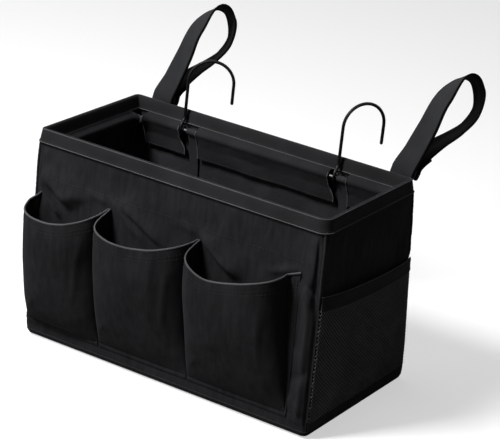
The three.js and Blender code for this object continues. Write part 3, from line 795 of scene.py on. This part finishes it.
def add_sleeves():
    length, depth = FRAME_X - FRAME_BEND + SLEEVE_OVERRUN, FRAME_Y - FRAME_BEND + SLEEVE_OVERRUN
    first_window, second_window = hook_windows()
    runs = [
        ("sleeve_front", "front", -length, length),
        ("sleeve_left_end", "left", -depth, depth),
        ("sleeve_right_end", "right", -depth, depth),
        ("sleeve_back_left", "back", -length, first_window[0]),
        ("sleeve_back_middle", "back", first_window[3], second_window[0]),
        ("sleeve_back_right", "back", second_window[3], length),
    ]
    rows, edges = Shells(), Shells()
    for seed, (node, side, start, end) in enumerate(runs):
        half = SIDES[side][2]
        first, last = (-end, -start) if side == "back" else (start, end)
        count = max(20, int((end - start) / 3))
        along = np.linspace((first + half) / (2 * half), (last + half) / (2 * half), count)
        grid = flap_section(side, along, seed)
        if node in ("sleeve_back_left", "sleeve_back_middle"):
            # Beside a hook the sleeve is cut back at the frame wire, where the hook folds past, and is
            # a little longer below it.
            near = smoothstep(grid[..., 0] - grid[..., 0].max(), -9, 0)
            grid[..., 0] += near * (1.6 - 5.0 * smoothstep(grid[..., 2], 156, 168))
        # The flaps' colour, darker than the lining's, is painted shade.
        put(Shells().sheet(grid, FLAP_THICKNESS), f"{node}_flap", SLEEVE_PAINTED_SHADE, "lining", node)
        inward = -outward_of(side)
        stitch_row(rows, grid[:, -2] + inward * 0.05, inward, radius=0.28)
        # The sleeves' end beads are lighter: a painted highlight.
        for end_at in (0, -1):
            edges.tube(grid[end_at, 3:] + inward * 0.1, 0.5, 6)
    put(edges, "sleeve_painted_highlight_edges", PAINTED_HIGHLIGHT_EDGE, "binding")
    x = np.linspace(-132, 132, 130)
    z = np.full(130, SLEEVE_HEM + 1.5)
    line = stack(x, -HALF_Y - front_relief(x, z) - 0.1, z)
    stitch_row(rows, soften(line), np.array([0, -1.0, 0.1]), radius=0.24)
    put(rows, "sleeve_stitches", THREAD, "lining")


def add_load_strips():
    """The webbing strips beside the hooks, down the back wall from round the frame wire."""
    angles = np.radians(np.linspace(120, -95, 14))
    bulge = FRAME_RADIUS + FRAME_CLEARANCE + 1.0
    heights = np.array([174, 178.4, *(FRAME_Z + bulge * np.sin(angles)), *np.linspace(168, 107, 24)])
    drape = 1.6 + 3.2 * np.exp(-np.linspace(0, 5, 24))
    for name, window in zip(("load_strip_left", "load_strip_right"), hook_windows()):
        sections = []
        for place in np.linspace(window[1] + 0.6, window[2], 7):
            share = (HALF_X - place) / (2 * HALF_X)
            deep = soften(wall_point("back", share, FRAME_Z, WALL))[1] - FRAME_Y
            depths = np.array([1.2, deep - 2.6, *(deep + bulge * np.cos(angles)), *drape])
            wall = soften(wall_point("back", share, heights, WALL))
            sections.append(wall - outward_of("back") * depths[:, None])
        strip = Shells().sheet(np.array(sections)[::-1], STRIP_THICKNESS)
        put(strip, f"{name}_web", WEBBING, "webbing", name)


HOOK_RADIUS, HOOK_RISE, HOOK_ARCH, HOOK_LEG, HOOK_SHANK = 1.5, 47.0, 21.0, 18.0, 2.3
JOG_START, JOG_END = 2.2, 13.0
HOOK_YAWS = (58, 30)


def add_hooks():
    """The wire hooks: an eye round the frame wire, a jog to the rim, the shank, the arch and a free leg."""
    eye_radius = FRAME_RADIUS + FRAME_CLEARANCE + HOOK_RADIUS
    rise, back = np.array([0, 0, 1.0]), np.array([0, 1.0, 0])
    eye_angles = np.radians(np.linspace(45, -180, 28))[:, None]
    eye = eye_radius * (back * np.cos(eye_angles) + rise * np.sin(eye_angles))
    middle = (JOG_START + JOG_END) / 2
    controls = np.array([(0, -eye_radius, JOG_START), (0, -eye_radius, middle), (0, HOOK_SHANK, middle),
                         (0, HOOK_SHANK, JOG_END)])
    t = np.linspace(0, 1, 14)[:, None]
    s = 1 - t
    jog = np.hstack([s ** 3, 3 * s * s * t, 3 * s * t * t, t ** 3]) @ controls
    arch_angles = np.radians(np.linspace(180, 0, 40))[:, None]
    for side, share, yaw in zip(("left", "right"), HOOK_SHARES, np.radians(HOOK_YAWS)):
        outward = np.array([math.sin(yaw), math.cos(yaw), 0])
        centre = np.array([0, HOOK_SHANK, HOOK_RISE]) + outward * HOOK_ARCH
        arch = centre + HOOK_ARCH * (outward * np.cos(arch_angles) + rise * np.sin(arch_angles))
        path = evenly(np.array([*eye, *jog, *arch, arch[-1] - rise * HOOK_LEG]), 1.2)
        path = path + np.array([share * HALF_X, FRAME_Y, FRAME_Z])
        wire = Shells().tube(path, HOOK_RADIUS, 14)
        put(wire, f"hook_{side}_wire", HOOK_WIRE, "hook_wire", f"hook_{side}", body=f"{side}_hook")


# Front pockets

# Each pocket's run between its seams, the powers of its plan's two corners, how fast it fills out
# above its foot, and its lip's drop below the seam tops at the knots, shares of the lip's length.
SAG_KNOTS = (0, 0.06, 0.12, 0.2, 0.28, 0.38, 0.5, 0.62, 0.74, 0.85, 0.93, 1)
POCKETS = [
    {"name": "pocket_left", "start": -148.5, "end": -68.4, "powers": (3.3, 2.3), "fill": 0.62,
     "sag": (4.5, 8.6, 12, 15, 16.8, 17.8, 17.2, 14, 9.3, 4.6, 1.8, 0)},
    {"name": "pocket_middle", "start": -68.4, "end": 27.0, "powers": (5.8, 2.3), "fill": 0.85,
     "sag": (0, 2.5, 4.6, 8.5, 13.2, 15.4, 14.2, 10.8, 7, 3, 0.8, 0)},
    {"name": "pocket_right", "start": 27.0, "end": 119.5, "powers": (5.1, 2.9), "fill": 0.85,
     "sag": (0, 2, 4, 7.8, 13.6, 18.2, 16.2, 12.4, 8.2, 4.9, 3.2, 2.4)},
]
POCKET_FOOT, POCKET_TOP, POCKET_DEPTH = 17.0, 142.0, 33.0

# The last pocket is sewn down by a flat band, from its end to this seam.
BAND_SEAM = 129.9


def plan_shape(pocket, angle):
    """A pocket's plan at an angle: -1 to 1 between its seams, and 0 to 1 out to its front."""
    left, right = pocket["powers"]
    power = 2 / (left + (right - left) * smoothstep(np.cos(angle), -0.6, 0.6))
    side = np.sign(np.cos(angle)) * np.abs(np.cos(angle)) ** power
    return side, np.sin(angle).clip(0) ** power


def pocket_plan(pocket, count):
    """Angles round a boxy pocket's plan that give evenly spaced points, and each one's share of the way."""
    angle = np.linspace(math.pi, 0, 4000)
    x, y = plan_shape(pocket, angle)
    x = x * (pocket["end"] - pocket["start"]) / 2
    far = distances(np.stack([x, y * POCKET_DEPTH], 1))
    share = np.linspace(0, 1, count)
    return np.interp(share * far[-1], far, angle), share


def lip_drop(pocket, share):
    """The lip's sag, smoothed, with its two ends kept."""
    drops = pocket["sag"]
    fine = np.linspace(-0.25, 1.25, 301)
    mirrored = np.interp(1 - np.abs(1 - np.abs(fine)), SAG_KNOTS, drops)
    odd = np.where(fine < 0, 2 * drops[0] - mirrored, np.where(fine > 1, 2 * drops[-1] - mirrored, mirrored))
    window = np.hanning(39)
    return np.interp(share, fine, np.convolve(odd, window / window.sum(), "same"))


def pocket_point(pocket, angle, share, rise):
    """A point of a pocket's outer face: rise goes from 0 at its foot to 1 at its lip."""
    start, end = pocket["start"] + 0.5, pocket["end"] - 0.5
    if pocket["name"] == "pocket_right":
        end = end + (BAND_SEAM - 1.5 - end) * (1 - smoothstep(rise, 0.0, 0.9))
    side, reach = plan_shape(pocket, angle)
    z = POCKET_FOOT + (POCKET_TOP - lip_drop(pocket, share) - POCKET_FOOT) * rise
    fill = np.sin(np.clip(rise, 0, 1) * math.pi / 2) ** pocket["fill"]
    x = (start + end) / 2 + side * (end - start) / 2
    if pocket["name"] == "pocket_left":
        x = x + 4.8 * (1 - smoothstep(reach, 0, 0.4)) * (side < 0) * smoothstep(rise, 0.3, 1)
    return stack(x, -HALF_Y - CLOTH_THICKNESS - POCKET_DEPTH * fill * reach, z)


def pocket_band(pocket, rows):
    """The last pocket's flat band beside its end, leaning a little, and its two rows of stitches."""
    height = np.linspace(POCKET_FOOT, POCKET_TOP, 60)[None]
    rise = (height - POCKET_FOOT) / (POCKET_TOP - POCKET_FOOT)
    inner_edge = pocket_point(pocket, np.zeros((1, 1)), np.ones((1, 1)), rise)[0, :, 0]
    across = np.linspace(0, 1, 5)[:, None]
    band = inner_edge[None] - 1.0 + (BAND_SEAM + 1.0 - inner_edge[None]) * across
    lean = 4.6 * (across - 1) * smoothstep(height, 60, POCKET_TOP) + 2.2 * smoothstep(height, 90, POCKET_TOP)
    for away in (2.2, 5.0):
        line = stack(BAND_SEAM - away, -HALF_Y - 1.35, height[0, 12:-2])
        stitch_row(rows, soften(line), np.array([0, -1.0, 0]), radius=0.3)
    return soften(stack(band, -HALF_Y - 1.3 + 0.25 * np.abs(2 * across - 1) ** 3, height + lean))


def add_pockets():
    rows = Shells()
    rise = np.linspace(0, 1, 70)[None]
    for number, pocket in enumerate(POCKETS):
        name, is_last = pocket["name"], pocket["name"] == "pocket_right"
        angle, share = (part[:, None] for part in pocket_plan(pocket, 130))
        grid = pocket_point(pocket, angle, share, rise)
        run = share * (pocket["end"] - pocket["start"] + 2 * POCKET_DEPTH) + 0 * rise
        high, whole = grid[..., 2], run.max()
        flat = smoothstep(rise, 0.02, 0.3) * smoothstep(np.sin(angle).clip(0), 0.0, 0.7)
        slack = 0.9 * waves(run, high, 40 + number, 85) + 0.1 * waves(run, high, 50 + number, 30)
        creases = (
            fold(run, high, (22, 20), (50, 48), 4.0, 0.9)
            + fold(run, high, (whole - 22, 20), (whole - 52, 50), 4.0, 0.9)
            + fold(run, high, (whole - 34, 122), (whole - 44, 52), 4.5, 0.9)
        )
        soft = soften(grid + grid_normals(grid) * ((slack + creases) * flat)[..., None])
        shells = Shells().sheet(soft, POCKET_THICKNESS)
        foot_z = np.linspace(POCKET_FOOT - 3.2, POCKET_FOOT + 0.6, 4)[None]
        foot_end = BAND_SEAM if is_last else pocket["end"]
        foot_x = np.linspace(pocket["start"] + 0.6, foot_end - 0.6, 60)[:, None]
        foot_y = -HALF_Y - np.array([[0.9, 1.35, 1.45, 1.2]])
        shells.sheet(soften(stack(foot_x, foot_y, foot_z)), BAND_THICKNESS)
        if is_last:
            shells.sheet(pocket_band(pocket, rows), BAND_THICKNESS)
        put(shells, f"{name}_cloth", CLOTH, "cloth", name)
        normal = grid_normals(soft)
        path, outward = soft[:, -1] - normal[:, -1] * 0.5 + np.array([0, 0, 0.2]), normal[:, -1]
        if is_last:
            along_band = np.array([[122.5, -76.6, 140.9], [126.5, -76.9, 142.6], [130.6, -76.7, 144.2]])
            path = np.concatenate([path[:-2], soften(along_band)])
            outward = np.concatenate([outward[:-2], [[0, -1.0, 0]] * 3])
        far = distances(path)
        spots = np.linspace(0, far[-1], int(far[-1] / 1.2))
        # The lip's fold is lighter than the cloth: a painted highlight.
        section = circle(12) * np.array([0.8, 0.95])
        lip = Shells().loft(sweep(resample(path, far, spots), section, side=resample(outward, far, spots)))
        put(lip, f"{name}_fold", PAINTED_HIGHLIGHT_EDGE, "binding", f"{name}_lip")
        for below in (8.0, 10.2):
            level = np.argmin(np.abs(rise[0] - 1 + below / (POCKET_TOP - POCKET_FOOT)))
            stitch_row(rows, soft[4:-4, level], normal[4:-4, level], radius=0.2)
    put(rows, "pocket_stitches", THREAD, "cloth")


# Net pockets on the ends

NET_FOOT, NET_TOP, BAND_FOOT, BAND_TOP = 14.0, 111.0, 110.0, 122.0
STRAND_PITCH, STRAND_SLOPE, STRAND_RADIUS = 3.4, 0.95, 0.42


def net_point(side, share, z):
    """The net's surface: sewn flat at its sides and foot, standing off the end panel between."""
    belly = (1 - np.abs(2 * share - 1) ** 3.0) ** 0.9
    lift = smoothstep(z, NET_FOOT, 42) ** 0.7
    towards_back = share if side == "right" else 1 - share
    points = wall_point(side, share, z, -1.2 - 5.2 * belly * lift)
    rise = 6.3 - 8 * towards_back - 1.6 * (1 - (2 * share - 1) ** 2)
    points[..., 2] += rise * smoothstep(z, 50, BAND_TOP)
    return points


def net_strands(side):
    """Two crossing families of threads."""
    strands = Shells()
    width = 2 * HALF_Y
    t = np.linspace(0, 1, 70)
    span = (NET_TOP - NET_FOOT) / STRAND_SLOPE
    z = NET_FOOT + t * (NET_TOP - NET_FOOT)
    for direction in (1, -1):
        for offset in np.arange(-span, width, STRAND_PITCH):
            run = offset + t * span
            if direction < 0:
                run = width - run
            keep = (run > 0.9) & (run < width - 0.9)
            if keep.sum() >= 3:
                line = net_point(side, run[keep] / width, z[keep])
                strands.loft(sweep(soften(line), circle(4), STRAND_RADIUS))
    return strands


def add_nets():
    share = np.linspace(0.012, 0.988, 70)[:, None]
    for side in ("right", "left"):
        hem = Shells()
        for first, last in ((0.002, 0.01), (0.99, 0.998)):
            across = np.linspace(first, last, 5)[:, None]
            hem.sheet(soften(wall_point(side, across, np.linspace(15, 116, 40)[None], -1.3)), HEM_THICKNESS)
        hem.sheet(soften(net_point(side, share, np.linspace(6.2, 16.5, 7)[None])), 1.1)
        put(hem, f"{side}_net_hem_tape", BINDING, "binding", f"{side}_net_hem")
        band_z = np.array([BAND_FOOT - 0.4, *np.linspace(BAND_FOOT, BAND_TOP - 0.4, 8), BAND_TOP])
        outward = outward_of(side)
        proud = np.array([0.5, *(0.9 + 0.1 * np.cos(np.linspace(0, 6, 8))), 0.4])
        grid = soften(net_point(side, share, band_z[None]) + outward * proud[None, :, None])
        tape = Shells().sheet(grid, NET_BAND_THICKNESS)
        put(tape, f"{side}_net_band_tape", BINDING, "binding", f"{side}_net_band")
        rows, edges = Shells(), Shells()
        for level in (2, 7):
            stitch_row(rows, grid[:, level], outward, radius=0.3)
        # The band's edge beads are lighter: a painted highlight.
        for level in (0, 9):
            edges.tube(grid[:, level] - outward * 0.3, 0.55, 6)
        put(edges, f"{side}_net_band_painted_highlight_edges", PAINTED_HIGHLIGHT_EDGE, "binding")
        put(rows, f"{side}_net_stitches", THREAD, "binding")
        # The strands' lightness is a painted highlight.
        put(net_strands(side), f"{side}_net_mesh", PAINTED_HIGHLIGHT_NET, "net", f"{side}_net", sharp=80)


# Straps

STRAP_WIDTH, STRAP_THICKNESS, TAPE_WIDTH, TAPE_THICKNESS, PILE_GAP = 25, 1.8, 22, 0.9, 0.3
STRAP_SHARES = {"left": -0.813, "right": 0.913}
STRAP_OFF_WALL = 2.5
LOOP_REACH, LOOP_LEAN, LOOP_RISE = 47.5, 32.0, 95.0

# Stations along the loop: shares of its reach, lean and rise, then its turn and its bank in degrees.
RISER = [
    (-0.06, 0.03, -0.13, 2, 0), (-0.005, 0.01, 0.03, 10, 0), (0.135, 0.07, 0.21, 21, 0),
    (0.345, 0.11, 0.49, 26, 0), (0.54, 0.23, 0.79, 31, 3), (0.78, 0.7, 1, 36, 29),
]
RETURN = [
    (0.947, 1, 0.9, 38, 5), (1, 0.96, 0.68, 51, 0), (0.84, 0.76, 0.505, 58, 0), (0.56, 0.56, 0.36, 50, 0),
    (0.305, 0.406, 0.232, 34, 0),
]

# Where the returning leg closes on the riser, as shares of the riser from its root.
CLOSURE = (0.31, 0.17)

# The stations between the strap's pieces, and a step either side of the crown.
CROWN_START, CROWN_END, CROWN_SHARE, CROWN_BEND = 3.0, 7.0, 0.45, 1.2


class Route:
    """The strap loop's centre line, a smooth curve through stations, with its turn and bank."""

    def __init__(self, points, turns, banks):
        self.points = np.array(points, float)
        self.turns = np.array(turns, float)
        self.banks = np.array(banks, float)
        self.last = len(points) - 1

    def centre(self, t):
        spot = min(max(t, 0), 1) * self.last
        i = min(int(spot), self.last - 1)
        w = spot - i
        p = self.points
        p1, p2 = p[i], p[i + 1]
        p0 = p[i - 1] if i > 0 else 2 * p[0] - p[1]
        p3 = p[i + 2] if i + 2 <= self.last else 2 * p[-1] - p[-2]
        d0, d1, d2 = (max(np.linalg.norm(b - a), 1e-4) ** 0.5 for a, b in ((p0, p1), (p1, p2), (p2, p3)))
        m1 = ((p1 - p0) / d0 - (p2 - p0) / (d0 + d1) + (p2 - p1) / d1) * d1
        m2 = ((p2 - p1) / d1 - (p3 - p1) / (d1 + d2) + (p3 - p2) / d2) * d1
        return p1 + m1 * w + (-3 * p1 + 3 * p2 - 2 * m1 - m2) * w ** 2 + (2 * p1 - 2 * p2 + m1 + m2) * w ** 3

    def turn_at(self, station):
        return np.interp(station, range(self.last + 1), self.turns)

    def at(self, station):
        """The centre, and the ways across the strap and out of its face."""
        t = station / self.last
        step = 1e-4
        along = self.centre(t + step) - self.centre(t - step)
        along /= np.linalg.norm(along)
        turn = math.radians(self.turn_at(station))
        across = np.array([math.cos(turn), -math.sin(turn), 0])
        across -= along * (across @ along)
        across /= np.linalg.norm(across)
        before = min(int(station), self.last - 1)
        ease = smoothstep(station - before)
        bank = math.radians(self.banks[before] * (1 - ease) + self.banks[before + 1] * ease)
        across = across * math.cos(bank) + np.cross(across, along) * math.sin(bank)
        return self.centre(t), across, np.cross(across, along)


def loop_route():
    """The whole loop: up the riser, over the crown, and down to the closure on the riser's back."""
    scale = np.array([LOOP_REACH, LOOP_LEAN, LOOP_RISE])
    stations = np.array(RISER + RETURN, float)
    points, turns, banks = list(stations[:, :3] * scale), list(stations[:, 3]), list(stations[:, 4])
    count = len(RISER)
    riser = Route(points[:count], turns[:count], banks[:count])
    for share in CLOSURE:
        station = share * riser.last
        centre, _, out = riser.at(station)
        points.append(centre - out * (2 * STRAP_THICKNESS + 2 * PILE_GAP + 1.5))
        turns.append(riser.turn_at(station))
        banks.append(0)
    return Route(points, turns, banks)


def ribbon(route, start, end, width, thickness, offset, thin_root):
    """A run of webbing along the loop: a flat section with rounded selvedges."""
    half, thick = width / 2, thickness / 2
    edge = [(half - 2.2, 0.9), (half - 0.6, 1.05), (half - 0.1, 0.85)]
    upper = [*((-a, b) for a, b in edge[::-1]), (0, 0.92), *edge]
    section = [(-half, 0), *upper, (half, 0), *((a, -b) for a, b in upper[::-1])]
    rings = []
    for station in np.linspace(start, end, max(8, int((end - start) * 9)) + 1):
        centre, across, out = route.at(station)
        fill = min(max(centre[2] / 1.6, 0.3), 1) if thin_root else 1
        rings.append([centre + across * a + out * (offset + b * thick * fill) for a, b in section])
    return np.array(rings)


def add_strap_tail(name, place):
    """The tail sewn to the back wall, and the stitched box that holds it."""
    z = np.linspace(-55, -11, 30)[None]
    x = np.linspace(-12.5, 12.5, 11)[:, None]
    y = HALF_Y + STRAP_OFF_WALL + 0.9 + 0.1 * np.cos(x * 1.1)
    tail = soften(stack(x + place - 2.85 * smoothstep(z, -42, -11), y, z + HEIGHT))
    put(Shells().sheet(tail[::-1], TAIL_THICKNESS), f"{name}_tail_web", WEBBING, "webbing", f"{name}_tail")
    sewn = Shells()
    for line in (tail[1], tail[-2], tail[:, 2], tail[:, 24]):
        stitch_row(sewn, line, np.array([0, 1.0, 0]), radius=0.3)
    put(sewn, f"{name}_tail_stitches", THREAD, "webbing")


def add_straps():
    route = loop_route()
    crown = CROWN_SHARE * route.last
    closure_start = route.last - 1
    tape_end, tape_start = (share * (len(RISER) - 1) for share in CLOSURE)
    tape_offset = -(STRAP_THICKNESS / 2 + PILE_GAP + TAPE_THICKNESS / 2)
    for side, share in STRAP_SHARES.items():
        place = share * HALF_X
        origin = np.array([place, HALF_Y + STRAP_OFF_WALL, HEIGHT])
        front_leg, back_leg = f"{side}_strap_front_leg", f"{side}_strap_back_leg"
        name = f"{side}_strap"

        def band(piece, start, end, offset=0, thin_root=False):
            rings = ribbon(route, start, end, STRAP_WIDTH, STRAP_THICKNESS, offset, thin_root) + origin
            return Shells().loft(rings), f"{name}_{piece}_web", STRAP, "webbing"

        def pile(piece, start, end, material):
            rings = ribbon(route, start, end, TAPE_WIDTH, TAPE_THICKNESS, tape_offset, False) + origin
            return Shells().loft(rings), f"{name}_{piece}_pile", material, "tape"

        add_strap_tail(name, place)
        low = put(*band("riser_low", 0, CROWN_START, thin_root=True), f"{name}_riser", body=None)
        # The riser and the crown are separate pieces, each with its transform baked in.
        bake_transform(low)
        high = put(*band("crown", CROWN_START, CROWN_END), body=None)
        before, after = (Vector((route.at(crown + d)[0] + origin) * MM) for d in (-CROWN_BEND, CROWN_BEND))
        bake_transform(high)
        put(*band("return", CROWN_END, route.last), f"{name}_return", body=back_leg)
        put(*pile("loop", tape_start, tape_end, LOOP_TAPE), f"{name}_loop_tape", body=front_leg)
        put(*pile("hook", closure_start, route.last, HOOK_TAPE), f"{name}_hook_tape", body=back_leg)
        put(*band("end", closure_start - 1, route.last, 2.1), f"{name}_end_fold", body=back_leg)


# Camera, lights and floor

def add_camera():
    """The photograph's camera, worked out from the box's own edges. Its focal length is in pixels."""
    azimuth, elevation, roll = math.radians(30.55), math.radians(21.25), math.radians(6.34)
    distance, focal, picture_width, sensor_width = 1960.0, 2178.5, 500, 36
    level = math.cos(elevation)
    back = Vector((math.sin(azimuth) * level, -math.cos(azimuth) * level, math.sin(elevation)))
    right = Vector((0, 0, 1)).cross(back).normalized()
    up = back.cross(right)
    right, up = right * math.cos(roll) + up * math.sin(roll), up * math.cos(roll) - right * math.sin(roll)
    target = Vector((0, 0, 100)) + right * 31.1 + up * 27.3
    data = bpy.data.cameras.new("camera")
    data.sensor_width = sensor_width
    data.lens = focal * sensor_width / picture_width
    data.clip_end = 50
    camera = bpy.data.objects.new("camera", data)
    scene.collection.objects.link(camera)
    matrix = Matrix((right, up, back)).transposed().to_4x4()
    matrix.translation = (target + back * distance) * MM
    camera.matrix_world = matrix
    scene.camera = camera


def add_light(name, place, size, power):
    """A square lamp that faces the caddy."""
    data = bpy.data.lights.new(name, "AREA")
    data.shape = "RECTANGLE"
    data.size = data.size_y = size
    data.energy = power
    light = bpy.data.objects.new(name, data)
    scene.collection.objects.link(light)
    light.location = place
    light.rotation_euler = (Vector((0, 0, 0.1)) - Vector(place)).to_track_quat("-Z", "Y").to_euler()


def add_stage():
    """A pale floor under a white studio. What the camera sees is white, and what lights the cloth is dim."""
    world = bpy.data.worlds.new("studio")
    scene.world = world
    world.use_nodes = True
    studio = Nodes(world.node_tree)
    path = studio.add("ShaderNodeLightPath").outputs
    seen = studio.math("MAXIMUM", path["Is Camera Ray"], path["Is Glossy Ray"])
    glow = studio.mix(seen, (0.065, 0.065, 0.067, 1), (1, 1, 1, 1))
    studio.set(studio.tree.nodes["Background"], {"Strength": 1.0, "Color": glow})
    size, below = 3.0, -0.0005
    corners = [(x * size, y * size, below) for x, y in ((-1, -1), (1, -1), (1, 1), (-1, 1))]
    mesh = bpy.data.meshes.new("floor")
    mesh.from_pydata(corners, [], [(0, 1, 2, 3)])
    floor = bpy.data.objects.new("floor", mesh)
    scene.collection.objects.link(floor)
    pale = bpy.data.materials.new("floor_pale")
    pale.use_nodes = True
    nodes = Nodes(pale.node_tree)
    camera_ray = nodes.add("ShaderNodeLightPath").outputs["Is Camera Ray"]
    nodes.set(nodes.tree.nodes["Principled BSDF"], {
        "Base Color": nodes.mix(camera_ray, (0.18, 0.18, 0.18, 1), (0.5, 0.5, 0.5, 1)),
        "Roughness": 0.95,
        "Specular IOR Level": 0.0,
        "Emission Color": (1, 1, 1, 1),
        "Emission Strength": nodes.times(camera_ray, 0.55),
    })
    mesh.materials.append(pale)
    add_light("key", (-0.58, -0.88, 1.42), 0.4, 44)
    add_light("front", (-0.9, -1.4, 0.6), 0.8, 8)
    add_light("top", (-0.3, 0.1, 2.0), 0.9, 7)


add_camera()
add_stage()
add_outer_cloth()
add_pipings()
add_boards()
add_lining()
add_rim()
add_frame_wire()
add_sleeves()
add_load_strips()
add_hooks()
add_pockets()
add_nets()
add_straps()

scene.view_settings.view_transform = "Standard"
